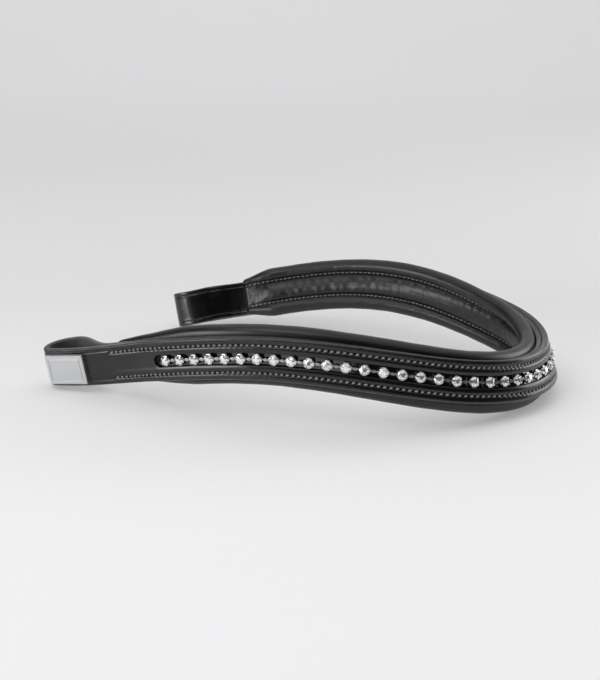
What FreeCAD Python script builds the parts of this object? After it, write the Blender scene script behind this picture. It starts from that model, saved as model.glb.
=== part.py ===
import FreeCAD, Part
import math
import os
import Sketcher

# A padded leather browband with a chain of crystals, lying on its lower edge and bent in a C.
# X runs along the open side of the C, Y across it, Z up. The origin is the middle of the box's base.
#
# Every piece is placed by its station on the band: "along" is the distance from the band's middle
# (negative towards the near end, which carries the badge), "out" the distance outwards from the back
# of the leather layers, and "up" the distance from the band's centre line towards its upper edge.

SIZES = (
    # the bent shape: lengths and radii of the arcs of its plan, from the near end to the far end
    ("near_loop_run", 24.0, "straight stretch under the badge"),
    ("near_loop_curl", 23.0, "arc that curls the near loop outwards"),
    ("near_loop_curl_radius", 87.0, "its radius"),
    ("near_cheek_arc", 62.0, "arc along the near cheek"),
    ("near_cheek_radius", 200.0, "its radius"),
    ("near_temple_arc", 50.0, "arc at the near temple"),
    ("near_temple_radius", 104.0, "its radius"),
    ("near_brow_arc", 50.0, "arc of the near half of the brow"),
    ("near_brow_radius", 56.0, "its radius"),
    ("far_brow_arc", 50.0, "arc of the far half of the brow"),
    ("far_brow_radius", 42.6, "its radius"),
    ("far_temple_arc", 60.0, "arc at the far temple"),
    ("far_temple_radius", 153.0, "its radius"),
    ("far_cheek_arc", 60.0, "arc along the far cheek"),
    ("far_cheek_radius", 200.0, "its radius"),
    ("far_loop_curl", 39.0, "arc that curls the far loop inwards"),
    ("far_loop_curl_radius", 57.0, "its radius"),
    ("brow_heading", 62.3, "direction of the band at its middle, degrees from X"),
    # the wave of the band and the way it leans
    ("middle_height", 11.0, "height of the centre line at the band's middle"),
    ("end_height", 8.3, "height of the centre line at both ends"),
    ("wave_height", 12.9, "rise of the wave over the temples"),
    ("wave_length", 213.0, "length of one wave, from the middle outwards"),
    ("brow_lean", 18.3, "inward lean of the upper edge at the middle, degrees"),
    ("near_lean", 0.5, "the same along the near arm"),
    ("far_lean", -25.0, "the same along the far arm"),
    ("near_tip_lean", -10.0, "lean added by the near tip"),
    ("far_tip_lean", 9.0, "lean added by the far tip"),
    ("lean_span", 154.0, "distance over which the lean changes"),
    ("tip_lean_span", 55.0, "length of the tip over which its lean is added"),
    # leather layers
    ("strap_width", 15.4, "width of the face strap and its backing"),
    ("face_thickness", 2.2, "thickness of the strap leather, in the face strap and its backing"),
    ("glue_line", 0.1, "clearance between two layers"),
    ("edge_bevel", 0.35, "bevel of the strap's edges"),
    ("tail_butt_gap", 0.3, "gap between the tail of a loop and the backing strap"),
    # loops at both ends
    ("loop_length", 30.0, "length of a loop, from its tip to where it closes"),
    ("loop_gap", 9.0, "widest opening between the legs of a loop"),
    ("loop_fold_start", 3.6, "distance from the tip at which the strap starts to fold"),
    ("tail_length", 26.0, "length of the tail, from where the loop closes"),
    # channel and crystal chain
    ("channel_clearance", 0.5, "width of the slot in the face strap beyond a cup's diameter"),
    ("channel_end_margin", 5.2, "slot beyond the first and the last crystal"),
    ("bed_thickness", 0.6, "thickness of the glossy strip in the slot"),
    ("crystal_count", 50, "number of crystals"),
    ("crystal_pitch", 6.23, "distance from one crystal to the next"),
    ("cup_diameter", 3.9, "outer diameter of a cup"),
    ("cup_wall", 0.22, "wall of a cup"),
    ("cup_depth", 1.6, "height of a cup's wall"),
    ("claw_height", 0.75, "height of a claw above the cup's wall"),
    ("claw_width", 0.7, "width of a claw"),
    ("claw_thickness", 0.22, "thickness of a claw"),
    ("crystal_clearance", 0.06, "clearance between a crystal and its cup"),
    ("crown_height", 0.75, "height of a crystal above its girdle"),
    ("girdle_height", 0.12, "thickness of a crystal's girdle"),
    ("link_width", 1.2, "width of a link"),
    ("link_height", 0.55, "height of a link"),
    ("link_clearance", 0.05, "clearance between a link and a cup"),
    ("tie_thread", 0.35, "diameter of the thread that ties the chain's ends"),
    # padding
    ("lining_leather", 0.9, "thickness of the lining's leather"),
    ("lining_half_length", 177.0, "distance from the middle to each end of the lining"),
    ("roll_radius", 3.15, "outer radius of a roll"),
    ("roll_overhang", 0.3, "distance from the strap's edge out to a roll's middle"),
    ("roll_clearance", 0.25, "distance from the backing to the lining and the foam"),
    ("pad_inset", 0.1, "depth by which the centre pad stays below a roll's diameter"),
    ("near_taper", 34.0, "length over which the rolls grow at the near end"),
    ("far_taper", 15.0, "the same at the far end"),
    ("taper_radius", 2.0, "outer radius of a roll at the lining's ends"),
    ("taper_inset", 1.3, "distance from the strap's edge in to its middle there"),
    ("core_clearance", 0.15, "clearance between the foam and the leather round it"),
    ("core_share", 0.84, "share of the room inside a roll that its foam fills"),
    ("core_end_gap", 5.0, "distance from the end of the lining to the foam inside"),
    # seams
    ("seam_margin", 2.7, "distance from the strap's edge to a seam"),
    ("seam_half_length", 178.5, "distance from the middle to each end of a seam"),
    ("thread_diameter", 0.6, "diameter of the seams' thread"),
    # badge
    ("badge_length", 16.2, "length of the badge along the strap"),
    ("badge_width", 12.0, "width of the badge"),
    ("badge_thickness", 1.9, "thickness of the badge"),
    ("badge_tip_gap", 2.6, "distance from the loop's tip to the badge"),
    ("badge_corner", 0.5, "radius of the badge's corners"),
    ("badge_edge", 0.25, "bevel of the badge's face"),
    ("badge_border", 1.3, "distance from the badge's edge to its engraved line"),
    ("badge_line", 0.35, "width of the engraved line"),
    ("badge_engraving", 0.2, "depth of the engraved line"),
    ("badge_clearance", 0.12, "clearance between the badge and the strap"),
    ("post_diameter", 1.6, "diameter of the badge's posts"),
    ("post_spacing", 9.0, "distance between the posts"),
    ("post_clearance", 0.06, "clearance round a post"),
    ("washer_diameter", 4.0, "diameter of the washers"),
    ("washer_thickness", 0.5, "thickness of the washers"),
    ("station_step", 6.0, "largest distance between two sections of a long piece"),
    ("fine_step", 4.0, "the same along the face strap, which also turns through the loops"),
    ("sections_per_span", 10, "sections that one face of a long piece runs through"),
)

doc = FreeCAD.newDocument("padded_browband")
sheet = doc.addObject("Spreadsheet::Sheet", "sizes")
for line, (alias, value, note) in enumerate(SIZES, start=1):
    sheet.set("A%d" % line, note)
    sheet.set("B%d" % line, str(value))
    sheet.setAlias("B%d" % line, alias)
doc.recompute()


def size(alias):
    return float(getattr(sheet, alias))


def vec(x, y, z=0.0):
    return FreeCAD.Vector(x, y, z)


def smooth(share):
    """0 below 0, 1 above 1, and a smooth rise between them."""
    held = min(max(share, 0.0), 1.0)
    return held * held * (3.0 - 2.0 * held)


# ---------------------------------------------------------------- the line of the band

ARCS = (
    (size("near_loop_run"), 0.0),
    (size("near_loop_curl"), -1.0 / size("near_loop_curl_radius")),
    (size("near_cheek_arc"), 1.0 / size("near_cheek_radius")),
    (size("near_temple_arc"), 1.0 / size("near_temple_radius")),
    (size("near_brow_arc"), 1.0 / size("near_brow_radius")),
    (size("far_brow_arc"), 1.0 / size("far_brow_radius")),
    (size("far_temple_arc"), 1.0 / size("far_temple_radius")),
    (size("far_cheek_arc"), 1.0 / size("far_cheek_radius")),
    (size("far_loop_curl"), 1.0 / size("far_loop_curl_radius")),
)
NEAR_ARCS = 5
NEAR_LENGTH = sum(length for length, bend in ARCS[:NEAR_ARCS])
FAR_LENGTH = sum(length for length, bend in ARCS[NEAR_ARCS:])


def step_along(x, y, heading, bend, length):
    """The point and the heading after a given length of one arc."""
    if bend == 0.0:
        return x + length * math.cos(heading), y + length * math.sin(heading), heading
    turned = heading + bend * length
    x += (math.sin(turned) - math.sin(heading)) / bend
    y -= (math.cos(turned) - math.cos(heading)) / bend
    return x, y, turned


def plan(along):
    """Plan point and heading at a station, worked out from the band's middle."""
    x, y, heading = 0.0, 0.0, math.radians(size("brow_heading"))
    left = abs(along)
    outward = ARCS[NEAR_ARCS:] if along >= 0.0 else tuple(reversed(ARCS[:NEAR_ARCS]))
    way = 1.0 if along >= 0.0 else -1.0
    for number, (length, bend) in enumerate(outward):
        last = number == len(outward) - 1
        step = left if last else min(left, length)
        x, y, heading = step_along(x, y, heading, bend, way * step)
        left -= step
        if left <= 0.0:
            break
    return x, y, heading


def height(along):
    """Height of the centre line: one wave over each temple, and a slow fall towards the ends."""
    far = abs(along)
    wave = math.sin(math.pi * min(far / size("wave_length"), 1.0)) ** 2
    fall = (size("end_height") - size("middle_height")) * (far / max(NEAR_LENGTH, FAR_LENGTH)) ** 2
    return size("middle_height") + size("wave_height") * wave + fall


def lean(along):
    """Inward lean of the upper edge, in radians."""
    arm = size("near_lean") if along < 0.0 else size("far_lean")
    middle = math.cos(0.5 * math.pi * min(abs(along) / size("lean_span"), 1.0)) ** 2
    angle = arm + (size("brow_lean") - arm) * middle
    reach, tip = (NEAR_LENGTH, "near_tip_lean") if along < 0.0 else (FAR_LENGTH, "far_tip_lean")
    start = reach - size("tip_lean_span")
    angle += size(tip) * smooth((abs(along) - start) / size("tip_lean_span"))
    return math.radians(angle)


def frame(along):
    """Centre point and the along, out and up directions at a station."""
    x, y, heading = plan(along)
    small = 0.05
    slope = (height(along + small) - height(along - small)) / (2.0 * small)
    forward = vec(math.cos(heading), math.sin(heading), slope).normalize()
    flat_out = vec(math.sin(heading), -math.cos(heading), 0.0)
    angle = lean(along)
    up = vec(0, 0, 1) * math.cos(angle) - flat_out * math.sin(angle)
    up = (up - forward * up.dot(forward)).normalize()
    return vec(x, y, height(along)), forward, forward.cross(up), up


def place(along, out, up):
    """A point of the band's space."""
    centre, forward, outwards, upwards = frame(along)
    return centre + outwards * out + upwards * up


def placement(along, out, up=0.0):
    """Local X along the band, local Y up and local Z outwards, at a point of the band's space."""
    centre, forward, outwards, upwards = frame(along)
    turn = FreeCAD.Rotation(upwards.cross(outwards), upwards, outwards, "ZYX")
    return FreeCAD.Placement(place(along, out, up), turn)


def stations(first, last, step):
    """Evenly spaced stations from first to last, both included."""
    count = max(int(math.ceil((last - first) / step)), 2)
    return [first + (last - first) * number / count for number in range(count + 1)]


# ---------------------------------------------------------------- making pieces

PIECES = []


def piece(label, shape):
    """A sub-part whose shape is set from the sheet's sizes."""
    item = doc.addObject("Part::Feature", label)
    item.Label = label
    item.Shape = shape
    PIECES.append(item)
    return item


def outline(along, corners):
    """Closed outline at a station. A corner is (out, up), or (out, up, "arc") for a point that a round
    stretch passes through between its two neighbours."""
    points = [place(along, corner[0], corner[1]) for corner in corners]
    edges = []
    number = 0
    total = len(corners)
    while number < total:
        following = (number + 1) % total
        if len(corners[following]) == 3:
            end = (number + 2) % total
            edges.append(Part.Arc(points[number], points[following], points[end]).toShape())
            number += 2
        else:
            edges.append(Part.makeLine(points[number], points[following]))
            number += 1
    return Part.Wire(edges)


def sewn(faces):
    """A closed solid from faces that share their edges."""
    skin = Part.makeCompound(faces)
    skin.sewShape()
    if len(skin.Shells) != 1 or not skin.Shells[0].isClosed():
        raise RuntimeError("the faces of a piece do not close")
    solid = Part.Solid(skin.Shells[0])
    if solid.Volume < 0.0:
        solid.reverse()
    return solid


def sides(sections, ruled=False):
    """The side faces through a row of sections, in spans of a few sections each."""
    span = int(size("sections_per_span"))
    faces = []
    for first in range(0, len(sections) - 1, span):
        faces += Part.makeLoft(sections[first:first + span + 1], False, ruled).Faces
    return faces


def through(sections, ruled=False):
    """A solid through a row of sections."""
    return sewn(sides(sections, ruled) + [Part.Face(sections[0]), Part.Face(sections[-1])])


def long_piece(first, last, corners_at):
    """A solid along the band, with the section that corners_at gives at each station."""
    step = size("station_step")
    return through([outline(along, corners_at(along)) for along in stations(first, last, step)])


def slab(low_out, high_out, half_width):
    """Section of a flat layer."""
    return lambda along: (
        (low_out, -half_width),
        (high_out, -half_width),
        (high_out, half_width),
        (low_out, half_width),
    )


def round_section(out, up, radius):
    """Section of a round cord: four quarter arcs."""
    lean_arm = radius * math.sqrt(0.5)
    return (
        (out + radius, up),
        (out + lean_arm, up + lean_arm, "arc"),
        (out, up + radius),
        (out - lean_arm, up + lean_arm, "arc"),
        (out - radius, up),
        (out - lean_arm, up - lean_arm, "arc"),
        (out, up - radius),
        (out + lean_arm, up - lean_arm, "arc"),
    )


def rod(start, end, diameter):
    """A straight round rod between two points."""
    run = end - start
    return Part.makeCylinder(0.5 * diameter, run.Length, start, run)


# ---------------------------------------------------------------- leather layers

HALF_WIDTH = 0.5 * size("strap_width")
BACKING_TOP = size("face_thickness")
FACE_LOW = BACKING_TOP + size("glue_line")
FACE_TOP = FACE_LOW + size("face_thickness")
FACE_MIDDLE = 0.5 * (FACE_LOW + FACE_TOP)
TAIL_MIDDLE = BACKING_TOP - 0.5 * size("face_thickness")
LOOP_MIDDLE = FACE_MIDDLE - size("face_thickness") - size("loop_gap")
CHANNEL_WIDTH = size("cup_diameter") + size("channel_clearance")
SEAM_OFFSET = HALF_WIDTH - size("seam_margin")
CHAIN_HALF = 0.5 * (size("crystal_count") - 1) * size("crystal_pitch")
CHANNEL_HALF = CHAIN_HALF + size("channel_end_margin")


def bezier(points, share):
    """A point of a cubic curve with four control points."""
    rest = 1.0 - share
    weights = (rest ** 3, 3 * rest ** 2 * share, 3 * rest * share ** 2, share ** 3)
    return tuple(sum(w * p[axis] for w, p in zip(weights, points)) for axis in (0, 1))


def loop_path():
    """Middle of the strap through one loop, as (distance from the tip, out): the fold at the tip,
    the slack inner leg, and the tail that runs back behind the face strap."""
    length = size("loop_length")
    start = size("loop_fold_start")
    crest = 0.33 * length
    fold = (
        (start, FACE_MIDDLE),
        (start - 4.6, FACE_MIDDLE),
        (start - 3.4, LOOP_MIDDLE + 2.6),
        (crest, LOOP_MIDDLE),
    )
    slack = (
        (crest, LOOP_MIDDLE),
        (0.55 * length, LOOP_MIDDLE - 1.6),
        (0.72 * length, TAIL_MIDDLE),
        (length, TAIL_MIDDLE),
    )
    path = [bezier(fold, share / 10.0) for share in range(11)]
    path += [bezier(slack, share / 9.0) for share in range(1, 10)]
    tail = stations(length, length + size("tail_length"), size("fine_step"))
    path += [(distance, TAIL_MIDDLE) for distance in tail[1:]]
    return path


def strap_frame(before, here, after):
    """Middle of the strap at one point of its path, and the directions across it and up."""
    along, out = here
    upwards = frame(along)[3]
    run = place(after[0], after[1], 0.0) - place(before[0], before[1], 0.0)
    run = (run - upwards * run.dot(upwards)).normalize()
    return place(along, out, 0.0), run.cross(upwards), upwards


def half_section(side, slot):
    """Bevelled outline of the strap's half above (side 1) or below (side -1) its centre line, as
    (across, up) corners that start and end at the slot's wall."""
    half = 0.5 * size("face_thickness")
    bevel = size("edge_bevel")
    return [
        (half, side * slot),
        (half, side * (HALF_WIDTH - bevel)),
        (half - bevel, side * HALF_WIDTH),
        (bevel - half, side * HALF_WIDTH),
        (-half, side * (HALF_WIDTH - bevel)),
        (-half, side * slot),
    ]


def strap_outline(spot, corners):
    middle, across, upwards = spot
    points = [middle + across * side + upwards * rise for side, rise in corners]
    return Part.makePolygon(points + points[:1])


def full_section(spot):
    upper = half_section(1.0, 0.0)
    lower = half_section(-1.0, 0.0)
    return strap_outline(spot, upper + lower[-2:0:-1])


def main_frames(first, last):
    """Frames of the strap along its main run."""
    frames = []
    for along in stations(first, last, size("fine_step")):
        frames.append(main_frame(along))
    return frames


def main_frame(along):
    near, far = (along - 0.1, FACE_MIDDLE), (along + 0.1, FACE_MIDDLE)
    return strap_frame(near, (along, FACE_MIDDLE), far)


def loop_frames(tip, way):
    """Frames of the strap from the tail's end, through the loop and on to the main run. way is 1 at the
    near end and -1 at the far end."""
    path = [(tip + way * distance, out) for distance, out in loop_path()]
    before_run = (tip + way * (size("loop_fold_start") + 0.1), FACE_MIDDLE)
    frames = []
    for number, here in enumerate(path):
        inner = path[min(number + 1, len(path) - 1)]
        outer = path[number - 1] if number else before_run
        pair = (inner, outer) if way > 0.0 else (outer, inner)
        frames.append(strap_frame(pair[0], here, pair[1]))
    return frames


def face_strap():
    """One strap from tail to tail, with the crystals' slot and the holes for the badge's posts."""
    start = size("loop_fold_start")
    radius = 0.5 * CHANNEL_WIDTH
    quarter = 5
    badge_end = -NEAR_LENGTH + size("badge_tip_gap") + size("badge_length") + 2.0
    near_loop = [full_section(spot) for spot in reversed(loop_frames(-NEAR_LENGTH, 1.0))]
    under_badge = [full_section(spot) for spot in main_frames(-NEAR_LENGTH + start, badge_end)]
    near = [full_section(spot) for spot in main_frames(badge_end, -CHANNEL_HALF)]
    far = [full_section(spot) for spot in main_frames(CHANNEL_HALF, FAR_LENGTH - start)]
    far_loop = [full_section(spot) for spot in loop_frames(FAR_LENGTH, -1.0)]
    near_loop[-1] = under_badge[0]
    far_loop[0] = far[-1]
    turns = [0.5 * math.pi * number / quarter for number in range(quarter + 1)]
    rounds = [(radius * (1.0 - math.cos(turn)), radius * math.sin(turn)) for turn in turns]
    faces = drilled_sides(under_badge)
    for sections in (near_loop, near, far, far_loop):
        faces += sides(sections)
    faces += [Part.Face(near_loop[0]), Part.Face(far_loop[-1])]
    for side in (1.0, -1.0):
        near_end = [
            strap_outline(main_frame(-CHANNEL_HALF + distance), half_section(side, slot))
            for distance, slot in rounds
        ]
        far_end = [
            strap_outline(main_frame(CHANNEL_HALF - distance), half_section(side, slot))
            for distance, slot in reversed(rounds)
        ]
        run = [
            strap_outline(spot, half_section(side, radius))
            for spot in main_frames(-CHANNEL_HALF + radius, CHANNEL_HALF - radius)
        ]
        faces += sides(near_end, True) + sides(run) + sides(far_end, True)
    return sewn(faces)


def drilled_sides(sections):
    """The side faces of the strap under the badge, with a hole for each post."""
    run = through(sections)
    for spot in post_spots():
        hole = Part.makeCylinder(0.5 * size("post_diameter") + size("post_clearance"), 4.0)
        hole.Placement = post_placement(spot, FACE_LOW - 0.9)
        whole = run.Volume
        run = run.cut(hole).Solids[0]
        if not run.Volume < whole - 1.0:
            raise RuntimeError("a hole for a badge post was not cut")
    ends = [Part.Face(sections[0]).CenterOfMass, Part.Face(sections[-1]).CenterOfMass]
    return [face for face in run.Faces if min(face.CenterOfMass.distanceToPoint(e) for e in ends) > 0.01]


def post_spots():
    """Stations of the badge's two posts."""
    middle = badge_station()
    return (middle - 0.5 * size("post_spacing"), middle + 0.5 * size("post_spacing"))


def post_placement(spot, out):
    """Placement at a post, square to the badge's own flat back."""
    flat = placement(badge_station(), out)
    return flat.multiply(FreeCAD.Placement(vec(spot - badge_station(), 0, 0), FreeCAD.Rotation()))


def badge_station():
    return -NEAR_LENGTH + size("badge_tip_gap") + 0.5 * size("badge_length")


def backing_strap():
    """Second layer, butted between the tails of the two loops."""
    reach = size("loop_length") + size("tail_length") + size("tail_butt_gap")
    section = slab(0.0, BACKING_TOP, HALF_WIDTH)
    return long_piece(-NEAR_LENGTH + reach, FAR_LENGTH - reach, section)


def channel_bed():
    half = 0.5 * CHANNEL_WIDTH - size("glue_line")
    end = CHANNEL_HALF - 0.5 * CHANNEL_WIDTH
    return long_piece(-end, end, slab(FACE_LOW, FACE_LOW + size("bed_thickness"), half))


# ---------------------------------------------------------------- crystal chain

BED_TOP = FACE_LOW + size("bed_thickness")
CUP_BASE = BED_TOP + 0.05


def chain_stations():
    count = int(size("crystal_count"))
    return [-CHAIN_HALF + size("crystal_pitch") * number for number in range(count)]


def origin_plane(body, role):
    return next(item for item in body.Origin.OriginFeatures if item.Role == role)


def sketch_on(body, name, role):
    sketch = body.newObject("Sketcher::SketchObject", name)
    sketch.AttachmentSupport = (origin_plane(body, role), [""])
    sketch.MapMode = "FlatFace"
    return sketch


def draw_outline(sketch, points):
    """Closed outline of straight lines in a sketch."""
    count = len(points)
    first = sketch.GeometryCount
    for number, point in enumerate(points):
        following = points[(number + 1) % count]
        sketch.addGeometry(Part.LineSegment(vec(*point), vec(*following)), False)
    for number in range(count):
        here = first + number
        following = first + (number + 1) % count
        sketch.addConstraint(Sketcher.Constraint("Coincident", here, 2, following, 1))


def cup_body():
    """One cup: a turned cup with a conical seat, and four claws bent in over the crystal's crown."""
    radius = 0.5 * size("cup_diameter")
    wall = size("cup_wall")
    depth = size("cup_depth")
    floor_radius = 0.45
    body = doc.addObject("PartDesign::Body", "cup_master")
    profile = sketch_on(body, "cup_profile", "XZ_Plane")
    draw_outline(profile, (
        (0.0, 0.0),
        (0.6 * radius, 0.0),
        (radius, 0.45 * depth),
        (radius, depth),
        (radius - wall, depth),
        (floor_radius, wall),
        (0.0, wall),
    ))
    turned = body.newObject("PartDesign::Revolution", "cup_turned")
    turned.Profile = profile
    turned.ReferenceAxis = (profile, ["V_Axis"])
    turned.Angle = 360.0
    doc.recompute()
    claw_profile = sketch_on(body, "claw_profile", "XZ_Plane")
    thick = size("claw_thickness")
    rise = size("claw_height")
    draw_outline(claw_profile, (
        (radius - thick, depth - 0.25),
        (radius, depth - 0.25),
        (radius, depth + 0.5 * rise),
        (radius - 0.65 * rise, depth + rise),
        (radius - 0.65 * rise - 0.12, depth + rise - thick),
        (radius - thick, depth + 0.5 * rise - 0.5 * thick),
    ))
    claw = body.newObject("PartDesign::Pad", "claw")
    claw.Profile = claw_profile
    claw.Length = size("claw_width")
    claw.setExpression("Length", "sizes.claw_width")
    claw.Midplane = True
    doc.recompute()
    ring = body.newObject("PartDesign::PolarPattern", "claw_ring")
    ring.Originals = [claw]
    ring.Axis = (origin_plane(body, "Z_Axis"), [""])
    ring.Angle = 360.0
    ring.Occurrences = 4
    body.Tip = ring
    doc.recompute()
    return body


def crystal_shape():
    """One brilliant-cut crystal, with its girdle plane at the height of the cup's rim."""
    radius = 0.5 * size("cup_diameter") - size("cup_wall") - size("crystal_clearance")
    rim = size("cup_depth") + 0.02
    girdle = size("girdle_height")
    sides = 8
    half_turn = math.pi / sides
    culet_radius = 0.2
    culet_height = size("cup_wall") + size("crystal_clearance") + 0.06
    lift = 0.14

    def ring(ring_radius, level, turn):
        corners = []
        for number in range(sides):
            angle = 2.0 * math.pi * number / sides + turn
            corners.append(vec(ring_radius * math.cos(angle), ring_radius * math.sin(angle), level))
        return Part.makePolygon(corners + corners[:1])

    levels = [
        ring(culet_radius, culet_height + lift, half_turn),
        ring(radius, rim + lift, half_turn),
        ring(radius, rim + lift + girdle, half_turn),
        ring(0.58 * radius, rim + lift + size("crown_height"), half_turn),
    ]
    return Part.makeLoft(levels, True, True)


def chain_group(master, out):
    """A copy of the master at every crystal."""
    copies = []
    for along in chain_stations():
        copy = master.copy()
        spin = FreeCAD.Placement(vec(0, 0, 0), FreeCAD.Rotation(vec(0, 0, 1), 45.0))
        copy.Placement = placement(along, out).multiply(spin)
        copies.append(copy)
    return Part.makeCompound(copies)


def chain_links():
    """Links between neighbouring cups: a bar with a raised square in its middle."""
    links = []
    cups = chain_stations()
    width = size("link_width")
    tall = size("link_height")
    bar_width = 0.6 * width
    for before, after in zip(cups, cups[1:]):
        along = 0.5 * (before + after)
        room = place(after, CUP_BASE, 0.0).distanceToPoint(place(before, CUP_BASE, 0.0))
        length = room - size("cup_diameter") - 2.0 * size("link_clearance")
        bar = Part.makeBox(length, bar_width, 0.5 * tall, vec(-0.5 * length, -0.5 * bar_width, 0.0))
        boss = Part.makeBox(width, width, tall, vec(-0.5 * width, -0.5 * width, 0.0))
        link = bar.fuse(boss).removeSplitter().Solids[0]
        link.Placement = placement(along, CUP_BASE + 0.6 * size("cup_depth"))
        links.append(link)
    return Part.makeCompound(links)


def chain_end_ties():
    """The thread that holds each end of the chain: two short stitches from the bed over the end cup's
    foot, one on each side."""
    ties = []
    thread = size("tie_thread")
    reach = 0.5 * size("cup_diameter") + 0.5 * thread + 0.12
    for along, way in ((-CHAIN_HALF, -1.0), (CHAIN_HALF, 1.0)):
        spot = along + way * reach
        low = place(spot, BED_TOP + 0.6 * thread, -0.35 * CHANNEL_WIDTH)
        high = place(spot, BED_TOP + 0.6 * thread, 0.35 * CHANNEL_WIDTH)
        ties.append(rod(low, high, thread))
    return Part.makeCompound(ties)


# ---------------------------------------------------------------- padding

def growth(along):
    """How far the rolls have grown at a station: 0 at the lining's ends, 1 along the arms."""
    taper = size("near_taper") if along < 0.0 else size("far_taper")
    return smooth((size("lining_half_length") - abs(along)) / taper)


def roll_at(along):
    """Offset of a roll's middle from the centre line, its depth and its outer radius."""
    share = growth(along)
    radius = size("taper_radius") + (size("roll_radius") - size("taper_radius")) * share
    offset = HALF_WIDTH - size("taper_inset") + (size("taper_inset") + size("roll_overhang")) * share
    return offset, -(size("roll_clearance") + radius), radius


def pad_at(along):
    """Depth of the padding in the middle of the band."""
    thin = 0.55
    return (2.0 * size("roll_radius") - size("pad_inset")) * (thin + (1.0 - thin) * growth(along))


def seam_at(along):
    """Point where a roll meets the centre pad, as (out, up)."""
    offset, depth, radius = roll_at(along)
    reach = min(offset - SEAM_OFFSET, 0.95 * radius)
    return depth - math.sqrt(radius ** 2 - reach ** 2), offset - reach


def lining_section(along):
    """The lining's leather: out round the upper roll, over the centre pad, round the lower roll, and
    back along its inner side."""
    offset, depth, radius = roll_at(along)
    seam_out, seam_up = seam_at(along)
    skin = size("lining_leather")
    front = depth + radius
    inner = radius - skin
    edge = seam_up + 0.3
    back_up = offset - 0.75 * inner
    back_out = depth - math.sqrt(inner ** 2 - (0.75 * inner) ** 2)
    pad_start = seam_up - 0.45
    pad_out = seam_out + skin
    crest = -pad_at(along)
    half = (
        (front, edge),
        (front, offset),
        (depth, offset + radius, "arc"),
        (depth - radius, offset),
        (0.5 * (depth - radius + seam_out) - 0.25 * radius, 0.5 * (offset + seam_up) - 0.1, "arc"),
        (seam_out, seam_up),
    )
    mirrored = tuple((spot[0], -spot[1]) + tuple(spot[2:]) for spot in reversed(half))
    back = (
        (front - skin, -edge),
        (front - skin, -offset),
        (depth, -offset - inner, "arc"),
        (depth - inner, -offset),
        (back_out, -back_up),
        (pad_out, -pad_start),
        (crest + skin, 0.0, "arc"),
        (pad_out, pad_start),
        (back_out, back_up),
        (depth - inner, offset),
        (depth, offset + inner, "arc"),
        (front - skin, offset),
        (front - skin, edge),
    )
    return half + ((crest, 0.0, "arc"),) + mirrored + back


def core_stations():
    reach = size("lining_half_length") - size("core_end_gap")
    return -reach, reach


def roll_core(side):
    first, last = core_stations()
    spare = size("lining_leather") + size("core_clearance")

    def section(along):
        offset, depth, radius = roll_at(along)
        return round_section(depth, side * offset, size("core_share") * (radius - spare))

    return long_piece(first, last, section)


def centre_foam():
    first, last = core_stations()
    skin = size("lining_leather")
    spare = size("core_clearance")

    def section(along):
        seam_out, seam_up = seam_at(along)
        half = seam_up - 0.45 - spare
        back = seam_out + skin + 2.0 * spare
        front = -size("roll_clearance")
        crest = -pad_at(along) + skin + 2.0 * spare
        return ((front, half), (back, half), (crest, 0.0, "arc"), (back, -half), (front, -half))

    return long_piece(first, last, section)


# ---------------------------------------------------------------- seams

def face_thread(side):
    reach = size("seam_half_length")
    radius = 0.5 * size("thread_diameter")
    out = FACE_TOP + radius + 0.5 * size("glue_line")
    return long_piece(-reach, reach, lambda along: round_section(out, side * SEAM_OFFSET, radius))


def bobbin_thread(side):
    reach = size("lining_half_length") - size("core_end_gap")
    radius = 0.5 * size("thread_diameter")

    def section(along):
        seam_out, seam_up = seam_at(along)
        return round_section(seam_out - 2.7 * radius, side * (seam_up - 0.5 * radius), radius)

    return long_piece(-reach, reach, section)


def lining_end_stitches(way):
    """Cross stitches over the lining's end: three bars in a zigzag, with their ends just apart."""
    thread = size("thread_diameter")
    last = size("lining_half_length") - 1.2
    first = last - 5.2
    rise = seam_at(way * last)[1] - 0.9
    corners = ((last, rise), (last, -rise), (first, 0.1), (first - 0.4, rise))
    bars = []
    for start, end in zip(corners, corners[1:]):
        points = []
        for distance, up in (start, end):
            along = way * distance
            bulge = 1.0 - (up / seam_at(along)[1]) ** 2
            surface = seam_at(along)[0] * (1.0 - bulge) - pad_at(along) * bulge
            points.append(place(along, surface - thread, up))
        run = points[1] - points[0]
        trim = run * (0.75 * thread / run.Length)
        bars.append(rod(points[0] + trim, points[1] - trim, thread))
    return Part.makeCompound(bars)


# ---------------------------------------------------------------- badge

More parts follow.
